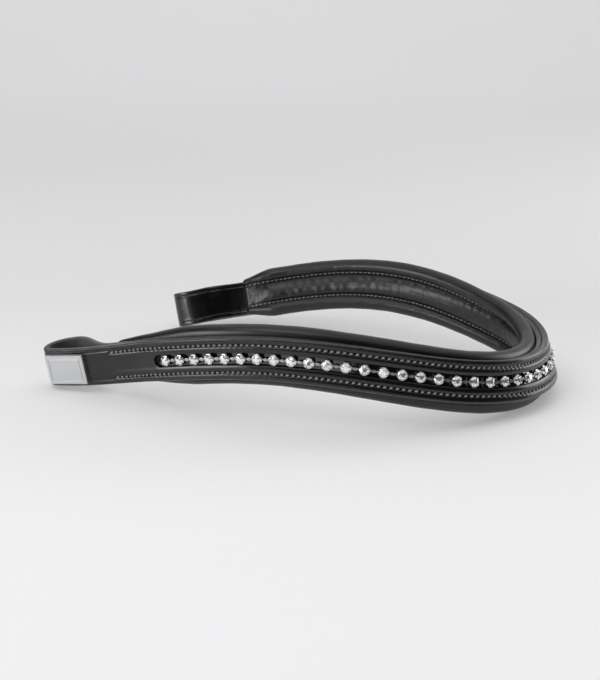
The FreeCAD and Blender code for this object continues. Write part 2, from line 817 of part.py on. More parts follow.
def badge_body():
    """Flat plate with rounded corners, an engraved border and two posts on its back."""
    length = size("badge_length")
    width = size("badge_width")
    body = doc.addObject("PartDesign::Body", "badge_plate")
    body.Label = "badge_plate"
    outline_sketch = sketch_on(body, "badge_outline", "XY_Plane")
    draw_rectangle(outline_sketch, 0.0, "badge_length", "badge_width")
    plate = body.newObject("PartDesign::Pad", "plate")
    plate.Profile = outline_sketch
    plate.Length = size("badge_thickness")
    plate.setExpression("Length", "sizes.badge_thickness")
    doc.recompute()
    corners = [
        "Edge%d" % (number + 1)
        for number, edge in enumerate(plate.Shape.Edges)
        if abs(edge.tangentAt(edge.FirstParameter).z) > 0.99
    ]
    rounded = body.newObject("PartDesign::Fillet", "plate_corners")
    rounded.Base = (plate, corners)
    rounded.Radius = size("badge_corner")
    rounded.setExpression("Radius", "sizes.badge_corner")
    doc.recompute()
    rim = [
        "Edge%d" % (number + 1)
        for number, edge in enumerate(rounded.Shape.Edges)
        if abs(edge.CenterOfMass.z - size("badge_thickness")) < 1e-6
    ]
    bevelled = body.newObject("PartDesign::Chamfer", "plate_bevel")
    bevelled.Base = (rounded, rim)
    bevelled.Size = size("badge_edge")
    bevelled.setExpression("Size", "sizes.badge_edge")
    doc.recompute()
    line_sketch = sketch_on(body, "badge_line", "XY_Plane")
    line_sketch.AttachmentOffset = FreeCAD.Placement(
        vec(0, 0, size("badge_thickness")), FreeCAD.Rotation())
    line_sketch.setExpression("AttachmentOffset.Base.z", "sizes.badge_thickness")
    border = size("badge_border")
    draw_rectangle(line_sketch, border, "badge_length", "badge_width")
    draw_rectangle(line_sketch, border + size("badge_line"), "badge_length", "badge_width")
    engraved = body.newObject("PartDesign::Pocket", "engraved_line")
    engraved.Profile = line_sketch
    engraved.Length = size("badge_engraving")
    engraved.setExpression("Length", "sizes.badge_engraving")
    doc.recompute()
    if not engraved.Shape.Volume < bevelled.Shape.Volume - 0.5:
        raise RuntimeError("the badge's border was not cut")
    post_sketch = sketch_on(body, "post_circles", "XY_Plane")
    for side in (-1.0, 1.0):
        circle = Part.Circle(vec(side * 0.5 * size("post_spacing"), 0), vec(0, 0, 1),
                             0.5 * size("post_diameter"))
        number = post_sketch.addGeometry(circle, False)
        post_sketch.addConstraint(
            Sketcher.Constraint("Diameter", number, size("post_diameter")))
        post_sketch.setExpression("Constraints[%d]" % (post_sketch.ConstraintCount - 1),
                                  "sizes.post_diameter")
    posts = body.newObject("PartDesign::Pad", "posts")
    posts.Profile = post_sketch
    posts.Length = size("face_thickness") + size("washer_thickness") + 0.35
    posts.setExpression("Length", "sizes.face_thickness + sizes.washer_thickness + 0.35")
    posts.Reversed = True
    doc.recompute()
    if not posts.Shape.Volume > engraved.Shape.Volume:
        raise RuntimeError("the badge's posts were not added")
    if length <= 2.0 * border or width <= 2.0 * border:
        raise RuntimeError("the badge is too small for its border")
    body.Placement = placement(badge_station(), FACE_TOP + size("badge_clearance"))
    PIECES.append(body)


def draw_rectangle(sketch, inset, length_alias, width_alias):
    """Rectangle about the sketch's origin, a given distance inside the named sizes."""
    half_length = 0.5 * size(length_alias) - inset
    half_width = 0.5 * size(width_alias) - inset
    first = sketch.GeometryCount
    draw_outline(sketch, (
        (-half_length, -half_width),
        (half_length, -half_width),
        (half_length, half_width),
        (-half_length, half_width),
    ))
    for side in (first, first + 2):
        sketch.addConstraint(Sketcher.Constraint("Horizontal", side))
    for side in (first + 1, first + 3):
        sketch.addConstraint(Sketcher.Constraint("Vertical", side))
    sketch.addConstraint(Sketcher.Constraint("Symmetric", first, 1, first + 1, 2, -1, 1))
    for side, alias, value in (
        (first, length_alias, 2.0 * half_length),
        (first + 1, width_alias, 2.0 * half_width),
    ):
        sketch.addConstraint(Sketcher.Constraint("Distance", side, value))
        cell = "Constraints[%d]" % (sketch.ConstraintCount - 1)
        if inset == 0.0:
            sketch.setExpression(cell, "sizes.%s" % alias)
        elif inset == size("badge_border"):
            sketch.setExpression(cell, "sizes.%s - 2 * sizes.badge_border" % alias)
        else:
            sketch.setExpression(
                cell, "sizes.%s - 2 * (sizes.badge_border + sizes.badge_line)" % alias)


def badge_washers():
    """Washers inside the loop, one on each post."""
    washers = []
    for spot in post_spots():
        washer = Part.makeCylinder(0.5 * size("washer_diameter"), size("washer_thickness"))
        bore = Part.makeCylinder(0.5 * size("post_diameter") + size("post_clearance"), 2.0)
        washer = washer.cut(bore)
        washer.Placement = post_placement(spot, FACE_LOW - size("washer_thickness") - 0.05)
        washers.append(washer)
    return Part.makeCompound(washers)


# ---------------------------------------------------------------- assembly

def build():
    piece("face_strap", face_strap())
    piece("backing_strap", backing_strap())
    piece("channel_bed", channel_bed())
    cup = cup_body()
    piece("crystal_cups", chain_group(cup.Shape, CUP_BASE))
    piece("crystals", chain_group(crystal_shape(), CUP_BASE))
    piece("chain_links", chain_links())
    piece("chain_end_ties", chain_end_ties())
    piece("lining", long_piece(-size("lining_half_length"), size("lining_half_length"), lining_section))
    piece("centre_foam", centre_foam())
    piece("top_roll_core", roll_core(1.0))
    piece("bottom_roll_core", roll_core(-1.0))
    piece("upper_row_thread", face_thread(1.0))
    piece("lower_row_thread", face_thread(-1.0))
    piece("upper_row_bobbin_thread", bobbin_thread(1.0))
    piece("lower_row_bobbin_thread", bobbin_thread(-1.0))
    piece("near_lining_end_stitches", lining_end_stitches(-1.0))
    piece("far_lining_end_stitches", lining_end_stitches(1.0))
    badge_body()
    piece("badge_washers", badge_washers())


def stand_on_origin():
    """Moves every piece alike, so that the middle of the whole box's base is the origin."""
    box = FreeCAD.BoundBox()
    for item in PIECES:
        box.add(item.Shape.optimalBoundingBox(False, False))
    shift = vec(-box.Center.x, -box.Center.y, -box.ZMin)
    for item in PIECES:
        item.Placement = FreeCAD.Placement(shift, FreeCAD.Rotation()).multiply(item.Placement)
    return shift


def check_and_export():
    for item in doc.Objects:
        if "Invalid" in item.State or "Error" in item.State:
            raise RuntimeError("%s did not compute: %s" % (item.Label, item.State))
    for item in PIECES:
        if item.Shape.isNull() or not item.Shape.isValid():
            raise RuntimeError("%s has no valid shape" % item.Label)
    os.makedirs("parts", exist_ok=True)
    for item in PIECES:
        item.Shape.exportStep("parts/%s.step" % item.Label)
        print("%-26s %3d solids %10.1f mm3" % (item.Label, len(item.Shape.Solids), item.Shape.Volume))


build()
moved = stand_on_origin()
doc.recompute()
print("moved by %.3f %.3f %.3f" % (moved.x, moved.y, moved.z))
check_and_export()
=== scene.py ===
"""The look of a padded leather browband with a chain of crystals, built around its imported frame.

A place on the band is given by its station "along" (negative towards the near end, which carries the
badge), the distance "out" from the back of the leather layers, and the distance "up" from the centre
line. These are in millimetres. Meshes are in metres.
"""

import math

import bmesh
import bpy
import numpy as np
from mathutils import Matrix, Vector


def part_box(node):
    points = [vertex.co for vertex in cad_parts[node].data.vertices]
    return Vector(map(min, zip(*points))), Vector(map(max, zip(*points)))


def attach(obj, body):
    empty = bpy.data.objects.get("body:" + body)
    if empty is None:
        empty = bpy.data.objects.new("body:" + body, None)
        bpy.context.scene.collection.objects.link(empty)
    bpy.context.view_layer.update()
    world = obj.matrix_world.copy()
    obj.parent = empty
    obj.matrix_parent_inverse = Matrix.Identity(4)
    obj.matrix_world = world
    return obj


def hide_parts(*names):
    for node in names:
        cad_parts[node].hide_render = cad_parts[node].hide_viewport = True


bl_info = {
    "name": "Padded browband",
    "version": (1, 0, 0),
    "blender": (4, 5, 0),
    "location": "3D View > Sidebar > Browband",
    "description": "Builds a padded leather browband with a chain of crystals",
    "category": "Add Mesh",
}

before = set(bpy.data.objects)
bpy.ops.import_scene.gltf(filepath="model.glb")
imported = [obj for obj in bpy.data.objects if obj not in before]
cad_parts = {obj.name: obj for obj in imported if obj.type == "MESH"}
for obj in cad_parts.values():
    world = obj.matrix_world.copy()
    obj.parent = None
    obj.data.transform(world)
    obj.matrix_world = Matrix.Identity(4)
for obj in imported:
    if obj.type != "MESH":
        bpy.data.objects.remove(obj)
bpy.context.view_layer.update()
MM = 0.001

# ---------- the line of the band

NEAR_ARCS = ((50.0, 1 / 56.0), (50.0, 1 / 104.0), (62.0, 1 / 200.0), (23.0, -1 / 87.0), (24.0, 0.0))
FAR_ARCS = ((50.0, 1 / 42.6), (60.0, 1 / 153.0), (60.0, 1 / 200.0), (39.0, 1 / 57.0))
HALF_LENGTH = 209.0
BROW_HEADING = math.radians(62.3)
MIDDLE_HEIGHT, END_HEIGHT, WAVE_HEIGHT, WAVE_LENGTH = 11.0, 8.3, 12.9, 213.0
BROW_LEAN, NEAR_LEAN, FAR_LEAN, LEAN_SPAN = 18.3, 0.5, -25.0, 154.0
NEAR_TIP_LEAN, FAR_TIP_LEAN, TIP_LEAN_SPAN = -10.0, 9.0, 55.0

HALF_WIDTH = 7.7
BACKING_TOP = 2.2
FACE_LOW, FACE_TOP, FACE_MIDDLE = 2.3, 4.5, 3.4
HALF_THICK = 1.1
TAIL_MIDDLE = 1.1
LOOP_MIDDLE = -7.8
LOOP_LENGTH, TAIL_LENGTH, FOLD_START, TAIL_GAP = 30.0, 26.0, 3.6, 0.3
CHANNEL_RADIUS, CHANNEL_HALF = 2.2, 157.8
CHAIN_COUNT, CHAIN_PITCH = 50, 6.23
CHAIN_HALF = 0.5 * (CHAIN_COUNT - 1) * CHAIN_PITCH
CUP_BASE = 2.95
CUP_RADIUS, CUP_WALL, CUP_DEPTH = 1.95, 0.22, 1.6
SEAM_OFFSET, SEAM_HALF = 5.0, 178.5
LINING_HALF, LINING_SKIN = 177.0, 0.9
ROLL_RADIUS, ROLL_OFFSET, ROLL_DEPTH, PAD_DEPTH = 3.15, 8.0, 3.4, 6.2
NEAR_TAPER, FAR_TAPER, TAPER_RADIUS, TAPER_OFFSET = 34.0, 15.0, 2.0, 6.4
PAD_THIN, PAD_SQUARENESS, PAD_FULLNESS = 0.55, 2.4, 0.75
STITCH_PITCH, STITCH_SLANT, BOBBIN_SLANT = 2.1, 26.0, -10.0
SEAM_GROOVE = 0.42
END_STITCH_RISE, END_STITCH_NEAR, END_STITCH_FAR = 3.9, 1.6, 5.4

CAMERA_PLACE, CAMERA_TILT, CAMERA_LENS, CAMERA_SENSOR = (-0.0004, -0.4533, 0.1443), 16.2, 61.2, 36.0
FLOOR_FLAT, FLOOR_BEND = 1.6, 1.2

CREASE_SCALE, PATCH_SCALE, RUB_SCALE = 190.0, 55.0, 420.0
RUBBED_COLOUR, FLESH_COLOUR = (0.050, 0.049, 0.049), (0.11, 0.108, 0.105)


def smooth(share):
    """0 below 0, 1 above 1, and a smooth rise between them."""
    held = np.clip(share, 0.0, 1.0)
    return held * held * (3.0 - 2.0 * held)


def plan(along):
    """Plan point and heading at a station, worked out from the band's middle."""
    x, y, heading = 0.0, 0.0, BROW_HEADING
    left, way = abs(along), (1.0 if along >= 0.0 else -1.0)
    arcs = FAR_ARCS if along >= 0.0 else NEAR_ARCS
    for number, (length, bend) in enumerate(arcs):
        step = way * (left if number == len(arcs) - 1 else min(left, length))
        if bend == 0.0:
            x, y = x + step * math.cos(heading), y + step * math.sin(heading)
        else:
            turned = heading + bend * step
            x += (math.sin(turned) - math.sin(heading)) / bend
            y -= (math.cos(turned) - math.cos(heading)) / bend
            heading = turned
        left -= abs(step)
        if left <= 0.0:
            break
    return x, y, heading


def height(along):
    far = abs(along)
    wave = math.sin(math.pi * min(far / WAVE_LENGTH, 1.0)) ** 2
    return MIDDLE_HEIGHT + WAVE_HEIGHT * wave + (END_HEIGHT - MIDDLE_HEIGHT) * (far / HALF_LENGTH) ** 2


def lean(along):
    arm, tip = (NEAR_LEAN, NEAR_TIP_LEAN) if along < 0.0 else (FAR_LEAN, FAR_TIP_LEAN)
    middle = math.cos(0.5 * math.pi * min(abs(along) / LEAN_SPAN, 1.0)) ** 2
    late = smooth((abs(along) - HALF_LENGTH + TIP_LEAN_SPAN) / TIP_LEAN_SPAN)
    return math.radians(arm + (BROW_LEAN - arm) * middle + tip * late)


def frame_at(along):
    """Centre point and the along, out and up directions at a station."""
    x, y, heading = plan(along)
    slope = (height(along + 0.05) - height(along - 0.05)) / 0.1
    forward = np.array((math.cos(heading), math.sin(heading), slope))
    forward /= np.linalg.norm(forward)
    flat_out = np.array((math.sin(heading), -math.cos(heading), 0.0))
    up = np.array((0.0, 0.0, 1.0)) * math.cos(lean(along)) - flat_out * math.sin(lean(along))
    up -= forward * up.dot(forward)
    up /= np.linalg.norm(up)
    return np.array((x, y, height(along))), forward, np.cross(forward, up), up


def frames_at(alongs):
    return [np.array(part) for part in zip(*(frame_at(float(a)) for a in alongs))]


def band_points(alongs, out, up):
    """Points of the band's space. out and up have one row per station."""
    centre, _, outwards, upwards = frames_at(alongs)
    return centre[:, None] + outwards[:, None] * out[..., None] + upwards[:, None] * up[..., None]


def band_shift():
    """How far the frame lies from the band's own start, measured on the backing strap."""
    reach = HALF_LENGTH - LOOP_LENGTH - TAIL_LENGTH - TAIL_GAP
    alongs = np.linspace(-reach, reach, 600)
    out = np.tile((0.0, BACKING_TOP, BACKING_TOP, 0.0), (len(alongs), 1))
    up = np.tile((-HALF_WIDTH, -HALF_WIDTH, HALF_WIDTH, HALF_WIDTH), (len(alongs), 1))
    points = band_points(alongs, out, up).reshape(-1, 3)
    low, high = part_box("backing_strap")
    middle = 0.5 * (np.array(low) + np.array(high)) / MM
    return middle - 0.5 * (points.min(0) + points.max(0))


SHIFT = band_shift()


def ripple(values, seed, wavelengths, wander=1.0):
    """A repeatable uneven wave between about -1 and 1."""
    rng = np.random.RandomState(seed)
    total = np.zeros_like(values)
    for wavelength in wavelengths:
        phase, drift = rng.uniform(0.0, 2.0 * math.pi, 2)
        bent = values / wavelength + wander * 0.35 * np.sin(values / (wavelength * 4.3) + drift)
        total += np.sin(2.0 * math.pi * bent + phase)
    return total / len(wavelengths)


# ---------- meshes

def in_frame(points):
    return (points + SHIFT) * MM


def weld(mesh, distance, recalculate=False, dissolve=False):
    """Joins points that lie on each other."""
    work = bmesh.new()
    work.from_mesh(mesh)
    bmesh.ops.remove_doubles(work, verts=work.verts, dist=distance)
    if dissolve:
        bmesh.ops.dissolve_degenerate(work, dist=1e-7, edges=work.edges)
    if recalculate:
        bmesh.ops.recalc_face_normals(work, faces=work.faces)
    work.to_mesh(mesh)
    work.free()


def put_in_scene(name, data):
    obj = bpy.data.objects.new(name, data)
    bpy.context.scene.collection.objects.link(obj)
    return obj


def sweep(name, rings, lengths, **marks):
    """A closed piece through rings of points. Its UV map runs along and round the piece, in metres.
    Each mark is a number for every point of a ring, kept as an attribute."""
    count, around = rings.shape[:2]
    points = in_frame(rings.reshape(-1, 3))
    first = np.arange(count - 1)[:, None] * around + np.arange(around)[None]
    turned = np.arange(count - 1)[:, None] * around + np.roll(np.arange(around), -1)[None]
    quads = np.stack([first, turned, turned + around, first + around], -1).reshape(-1, 4)
    corners = quads[:, 0]
    edge_a = points[quads[:, 1]] - points[quads[:, 0]]
    edge_b = points[quads[:, 3]] - points[quads[:, 0]]
    volume = np.einsum("ij,ij->i", points[corners] - points.mean(0), np.cross(edge_a, edge_b)).sum()
    caps = [list(range(around))[::-1], [(count - 1) * around + number for number in range(around)]]
    faces = quads.tolist() + caps
    if volume < 0.0:
        faces = [face[::-1] for face in faces]
    mesh = bpy.data.meshes.new(name)
    mesh.from_pydata(points.tolist(), [], faces)
    girth = np.concatenate([[0.0], np.cumsum(np.linalg.norm(np.diff(rings[count // 2], axis=0), axis=1))])
    uv = mesh.uv_layers.new(name="UVMap")
    loops = np.zeros(len(mesh.loops), int)
    mesh.loops.foreach_get("vertex_index", loops)
    flat = np.stack([lengths[loops // around], girth[loops % around]], -1) * MM
    uv.data.foreach_set("uv", flat.ravel())
    for mark, values in marks.items():
        layer = mesh.attributes.new(mark, "FLOAT", "POINT")
        layer.data.foreach_set("value", np.tile(values, count))
    obj = put_in_scene(name, mesh)
    mesh.polygons.foreach_set("use_smooth", [True] * len(mesh.polygons))
    weld(mesh, 1e-6, dissolve=True)
    mesh.update()
    return obj


def finish_piece(obj, material, slot, *nodes):
    """Gives a piece its finish and its place in the part."""
    obj.data.materials.clear()
    obj.data.materials.append(material)
    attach(obj, "root")
    if nodes:
        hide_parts(*nodes)
    return obj


def finish_cad(node, material):
    """Keeps a CAD node as it is, with a better material."""
    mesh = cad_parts[node].data
    mesh.materials.clear()
    mesh.materials.append(material)


# ---------- materials

def new_material(name, **sockets):
    """A material whose plain values are set on the shader's own sockets."""
    material = bpy.data.materials.new(name)
    material.use_nodes = True
    shader = material.node_tree.nodes["Principled BSDF"]
    for key, value in sockets.items():
        shader.inputs[key.replace("_", " ")].default_value = value
    return material, material.node_tree, shader


def feed(tree, shader, **sources):
    for key, source in sources.items():
        tree.links.new(source, shader.inputs[key.replace("_", " ")])


def object_place(tree):
    return add_node(tree, "ShaderNodeTexCoord").outputs["Object"]


def add_node(tree, kind, values=None, **settings):
    node = tree.nodes.new(kind)
    for key, value in settings.items():
        setattr(node, key, value)
    for key, value in (values or {}).items():
        node.inputs[key].default_value = value
    return node


def mapped(tree, source, low, high, start=0.0, end=1.0):
    spread = add_node(tree, "ShaderNodeMapRange", {1: start, 2: end, 3: low, 4: high})
    tree.links.new(source, spread.inputs[0])
    return spread.outputs[0]


def noise(tree, coordinates, scale, detail=3.0, rough=0.55):
    grain = add_node(tree, "ShaderNodeTexNoise", {"Scale": scale, "Detail": detail, "Roughness": rough})
    tree.links.new(coordinates, grain.inputs["Vector"])
    return grain.outputs["Fac"]


def maths(tree, kind, first, second):
    step = add_node(tree, "ShaderNodeMath", operation=kind)
    for number, value in enumerate((first, second)):
        if isinstance(value, (int, float)):
            step.inputs[number].default_value = value
        else:
            tree.links.new(value, step.inputs[number])
    return step.outputs[0]


def colour_between(tree, share, low, high):
    ramp = add_node(tree, "ShaderNodeValToRGB")
    ramp.color_ramp.elements[0].color = (*low, 1.0)
    ramp.color_ramp.elements[1].color = (*high, 1.0)
    tree.links.new(share, ramp.inputs[0])
    return ramp.outputs[0]


def bump(tree, height_out, distance, strength, before=None):
    relief = add_node(tree, "ShaderNodeBump", {"Distance": distance, "Strength": strength})
    tree.links.new(height_out, relief.inputs["Height"])
    if before is not None:
        tree.links.new(before, relief.inputs["Normal"])
    return relief.outputs["Normal"]


def colour_over(tree, share, under, colour):
    mix = add_node(tree, "ShaderNodeMix", data_type="RGBA")
    tree.links.new(share, mix.inputs[0])
    tree.links.new(under, mix.inputs[6])
    mix.inputs[7].default_value = (*colour, 1.0)
    return mix.outputs[2]


def leather(name, dark, light, grain, relief, roughness, use_wear=False, **sockets):
    """Dyed leather: pebbled grain with fine pores, uneven gloss and, on a strap, dressed edges."""
    material, tree, shader = new_material(name, **sockets)
    place = object_place(tree)
    cells = add_node(tree, "ShaderNodeTexVoronoi", {"Scale": grain, "Randomness": 0.95})
    cells.feature = "DISTANCE_TO_EDGE"
    tree.links.new(place, cells.inputs["Vector"])
    pebbles = mapped(tree, cells.outputs["Distance"], 0.0, 1.0, 0.0, 0.35)
    pores = noise(tree, place, grain * 2.7, 4.0, 0.6)
    pebbled, pored = maths(tree, "MULTIPLY", pebbles, 0.7), maths(tree, "MULTIPLY", pores, 0.6)
    broad = bump(tree, noise(tree, place, CREASE_SCALE, 3.0, 0.5), relief * 2.0, 0.12)
    feed(tree, shader, Normal=bump(tree, maths(tree, "ADD", pebbled, pored), relief, 0.40, broad))
    patches = noise(tree, place, PATCH_SCALE, 5.0, 0.6)
    tone = colour_between(tree, mapped(tree, patches, 0.0, 1.0, 0.3, 0.7), dark, light)
    low, high = roughness
    uneven = maths(tree, "ADD", patches, maths(tree, "MULTIPLY", pores, 0.3))
    gloss = mapped(tree, uneven, low, high, 0.4, 0.9)
    if use_wear:
        wear = add_node(tree, "ShaderNodeAttribute", attribute_name="wear").outputs["Fac"]
        rubs = mapped(tree, noise(tree, place, RUB_SCALE, 4.0), 0.2, 1.0, 0.3, 0.7)
        rubbed = maths(tree, "MULTIPLY", wear, rubs)
        flesh = add_node(tree, "ShaderNodeAttribute", attribute_name="flesh").outputs["Fac"]
        tone = colour_over(tree, rubbed, tone, RUBBED_COLOUR)
        tone = colour_over(tree, flesh, tone, FLESH_COLOUR)
        gloss = maths(tree, "ADD", gloss, maths(tree, "MULTIPLY", rubbed, 0.07))
        gloss = maths(tree, "ADD", gloss, maths(tree, "MULTIPLY", flesh, 0.45))
    feed(tree, shader, Base_Color=tone, Roughness=gloss)
    return material


def polished(name, colour, roughness, scratch, relief, **sockets):
    """Metal or lacquer with faint handling marks."""
    material, tree, shader = new_material(name, Base_Color=(*colour, 1.0), **sockets)
    place = object_place(tree)
    marks = noise(tree, place, scratch, 5.0, 0.7)
    feed(tree, shader, Roughness=mapped(tree, marks, *roughness, 0.3, 0.7),
         Normal=bump(tree, marks, relief, 0.2))
    return material


def brushed(name, colour, roughness):
    """Satin metal with a fine brushed line."""
    material, tree, shader = new_material(name, Base_Color=(*colour, 1.0), Metallic=1.0)
    place = object_place(tree)
    stretch = add_node(tree, "ShaderNodeMapping", {"Scale": (1.0, 1.0, 26.0)})
    tree.links.new(place, stretch.inputs["Vector"])
    lines = noise(tree, stretch.outputs[0], 260.0, 4.0, 0.6)
    feed(tree, shader, Roughness=mapped(tree, lines, *roughness, 0.3, 0.7),
         Normal=bump(tree, lines, 0.00002, 0.3))
    return material


def waxed_thread(name, dark, light):
    """Twisted thread: slanted plies under a little wax. Its colour runs from mid to light grey, a painted
    highlight on black thread.
    """
    material, tree, shader = new_material(name, Sheen_Weight=0.15)
    place = object_place(tree)
    plies = add_node(tree, "ShaderNodeTexWave", {"Scale": 620.0, "Distortion": 1.2, "Detail": 1.0})
    plies.bands_direction = "DIAGONAL"
    tree.links.new(place, plies.inputs["Vector"])
    fluff = noise(tree, place, 900.0, 3.0)
    feed(tree, shader, Normal=bump(tree, plies.outputs["Fac"], 0.00008, 0.6),
         Base_Color=colour_between(tree, fluff, dark, light),
         Roughness=mapped(tree, plies.outputs["Fac"], 0.38, 0.6))
    return material


def cell_foam(name, colour):
    material, tree, shader = new_material(name, Base_Color=(*colour, 1.0), Roughness=0.9)
    place = object_place(tree)
    cells = add_node(tree, "ShaderNodeTexVoronoi", {"Scale": 1500.0})
    tree.links.new(place, cells.inputs["Vector"])
    feed(tree, shader, Normal=bump(tree, cells.outputs["Distance"], 0.0002, 0.6))
    return material


def cut_glass(name):
    """Clear crystal with a trace of uneven polish."""
    material, tree, shader = new_material(
        name, Base_Color=(0.97, 0.98, 1.0, 1.0), IOR=1.7, Transmission_Weight=0.25, Metallic=0.7,
        Specular_IOR_Level=0.7)
    place = object_place(tree)
    polish = noise(tree, place, 900.0, 2.0)
    feed(tree, shader, Roughness=mapped(tree, polish, 0.0, 0.03))
    return material


FINISHES = {}


def finish(name):
    """The finish of that name, made once."""
    makers = {
        "strap": lambda: leather(
            "black_bridle_leather", (0.0035, 0.0035, 0.004), (0.007, 0.007, 0.0075), 2100.0, 0.00003,
            (0.20, 0.32), True, Coat_Weight=0.35, Coat_Roughness=0.12, Specular_IOR_Level=0.38),
        "lining": lambda: leather(
            "soft_black_lining_leather", (0.006, 0.006, 0.0065), (0.011, 0.011, 0.0115), 1700.0, 0.00004,
            (0.30, 0.44), False, Coat_Weight=0.15, Coat_Roughness=0.25, Specular_IOR_Level=0.45),
        "patent": lambda: polished(
            "black_patent_leather", (0.004, 0.004, 0.0045), (0.05, 0.13), 300.0, 0.00003,
            Coat_Weight=1.0, Coat_Roughness=0.04),
        # the black thread is coloured mid to light grey here: painted highlight
        "thread": lambda: waxed_thread("black_thread_painted_highlight", (0.20, 0.20, 0.205), (0.40, 0.40, 0.41)),
        "cup": lambda: polished(
            "bright_silver_plate", (0.86, 0.865, 0.875), (0.09, 0.20), 700.0, 0.00001, Metallic=1.0),
        # the links are the cups' silver with its colour darkened to about half: painted shade on the links
        # between the cups
        "link": lambda: polished(
            "silver_plate_painted_shade", (0.42, 0.425, 0.43), (0.22, 0.36), 700.0, 0.00001, Metallic=1.0),
        "crystal": lambda: cut_glass("clear_cut_crystal"),
        "badge": lambda: brushed("satin_grey_metal", (0.66, 0.665, 0.675), (0.34, 0.46)),
        "foam": lambda: cell_foam("grey_cell_foam", (0.22, 0.22, 0.23)),
    }
    if name not in FINISHES:
        FINISHES[name] = makers[name]()
    return FINISHES[name]


# ---------- the straps

def loop_path():
    """Middle of the strap through one loop, as (distance from the tip, out), from the face inwards."""
    crest = 0.33 * LOOP_LENGTH
    fold = ((FOLD_START, FACE_MIDDLE), (FOLD_START - 4.6, FACE_MIDDLE),
            (FOLD_START - 3.4, LOOP_MIDDLE + 2.6), (crest, LOOP_MIDDLE))
    slack = ((crest, LOOP_MIDDLE), (0.55 * LOOP_LENGTH, LOOP_MIDDLE - 1.6),
             (0.72 * LOOP_LENGTH, TAIL_MIDDLE), (LOOP_LENGTH, TAIL_MIDDLE))
    path = []
    for corners in (fold, slack):
        share = np.linspace(0.0, 1.0, 60)[:, None]
        weights = ((1 - share) ** 3, 3 * (1 - share) ** 2 * share, 3 * (1 - share) * share ** 2, share ** 3)
        path.append(sum(weight * np.array(corner) for weight, corner in zip(weights, corners)))
    tail = np.linspace(LOOP_LENGTH, LOOP_LENGTH + TAIL_LENGTH, 60)[:, None]
    path.append(np.hstack([tail, np.full_like(tail, TAIL_MIDDLE)]))
    return np.vstack([path[0], path[1][1:], path[2][1:]])


def strap_path(step):
    """The whole strap from tail to tail as (along, out), evenly spaced, with the slot's round ends."""
    loop = loop_path()
    near = np.stack([loop[::-1, 0] - HALF_LENGTH, loop[::-1, 1]], -1)
    far = np.stack([HALF_LENGTH - loop[:, 0], loop[:, 1]], -1)
    line = np.vstack([near, far])
    lengths = np.concatenate([[0.0], np.cumsum(np.linalg.norm(np.diff(line, axis=0), axis=1))])
    spaced = np.arange(0.0, lengths[-1], step)
    turns = np.linspace(0.0, 0.5 * math.pi, 7)
    ends = CHANNEL_HALF - CHANNEL_RADIUS * (1.0 - np.cos(turns))
    extra = np.concatenate([ends, [CHANNEL_HALF + 0.004]])
    start = lengths[len(near) - 1] - near[-1, 0]
    spaced = np.concatenate([spaced, start + extra, start - extra, [lengths[-1]]])
    spaced = np.unique(np.round(spaced, 4))
    return np.stack([np.interp(spaced, lengths, line[:, axis]) for axis in (0, 1)], -1), spaced


def strap_relief(along, up, on_face):
    """How far the strap's face stands out or in: swollen lands between the seams, the pulled-in line
    of a seam with its holes, and a creased line along the edges of the loops."""
    far, rise = np.abs(along), np.abs(up)
    sewn = smooth((SEAM_HALF + 1.0 - far) / 2.0) * on_face
    sunk = np.exp(-((rise - SEAM_OFFSET) / SEAM_GROOVE) ** 2)
    inner = np.sin(math.pi * np.clip((rise - CHANNEL_RADIUS) / (SEAM_OFFSET - CHANNEL_RADIUS), 0, 1))
    outer = np.sin(math.pi * np.clip((rise - SEAM_OFFSET) / (HALF_WIDTH + 0.6 - SEAM_OFFSET), 0, 1))
    beat = np.cos(2.0 * math.pi * (along + SEAM_HALF) / STITCH_PITCH)
    hole = sunk * np.clip(beat, 0.0, 1.0) ** 3
    pull = 0.06 * beat * np.exp(-((rise - SEAM_OFFSET) / 1.1) ** 2)
    raised = 0.24 * inner + 0.20 * outer - 0.24 * sunk - 0.80 * hole - pull
    crease = -0.17 * np.exp(-((rise - 5.75) / 0.20) ** 2) + 0.05 * np.exp(-((rise - 5.2) / 0.3) ** 2)
    uneven = 0.035 * ripple(along + 0.7 * up, 4, (17.0, 9.3, 31.0))
    return sewn * raised + (1.0 - sewn) * crease + uneven


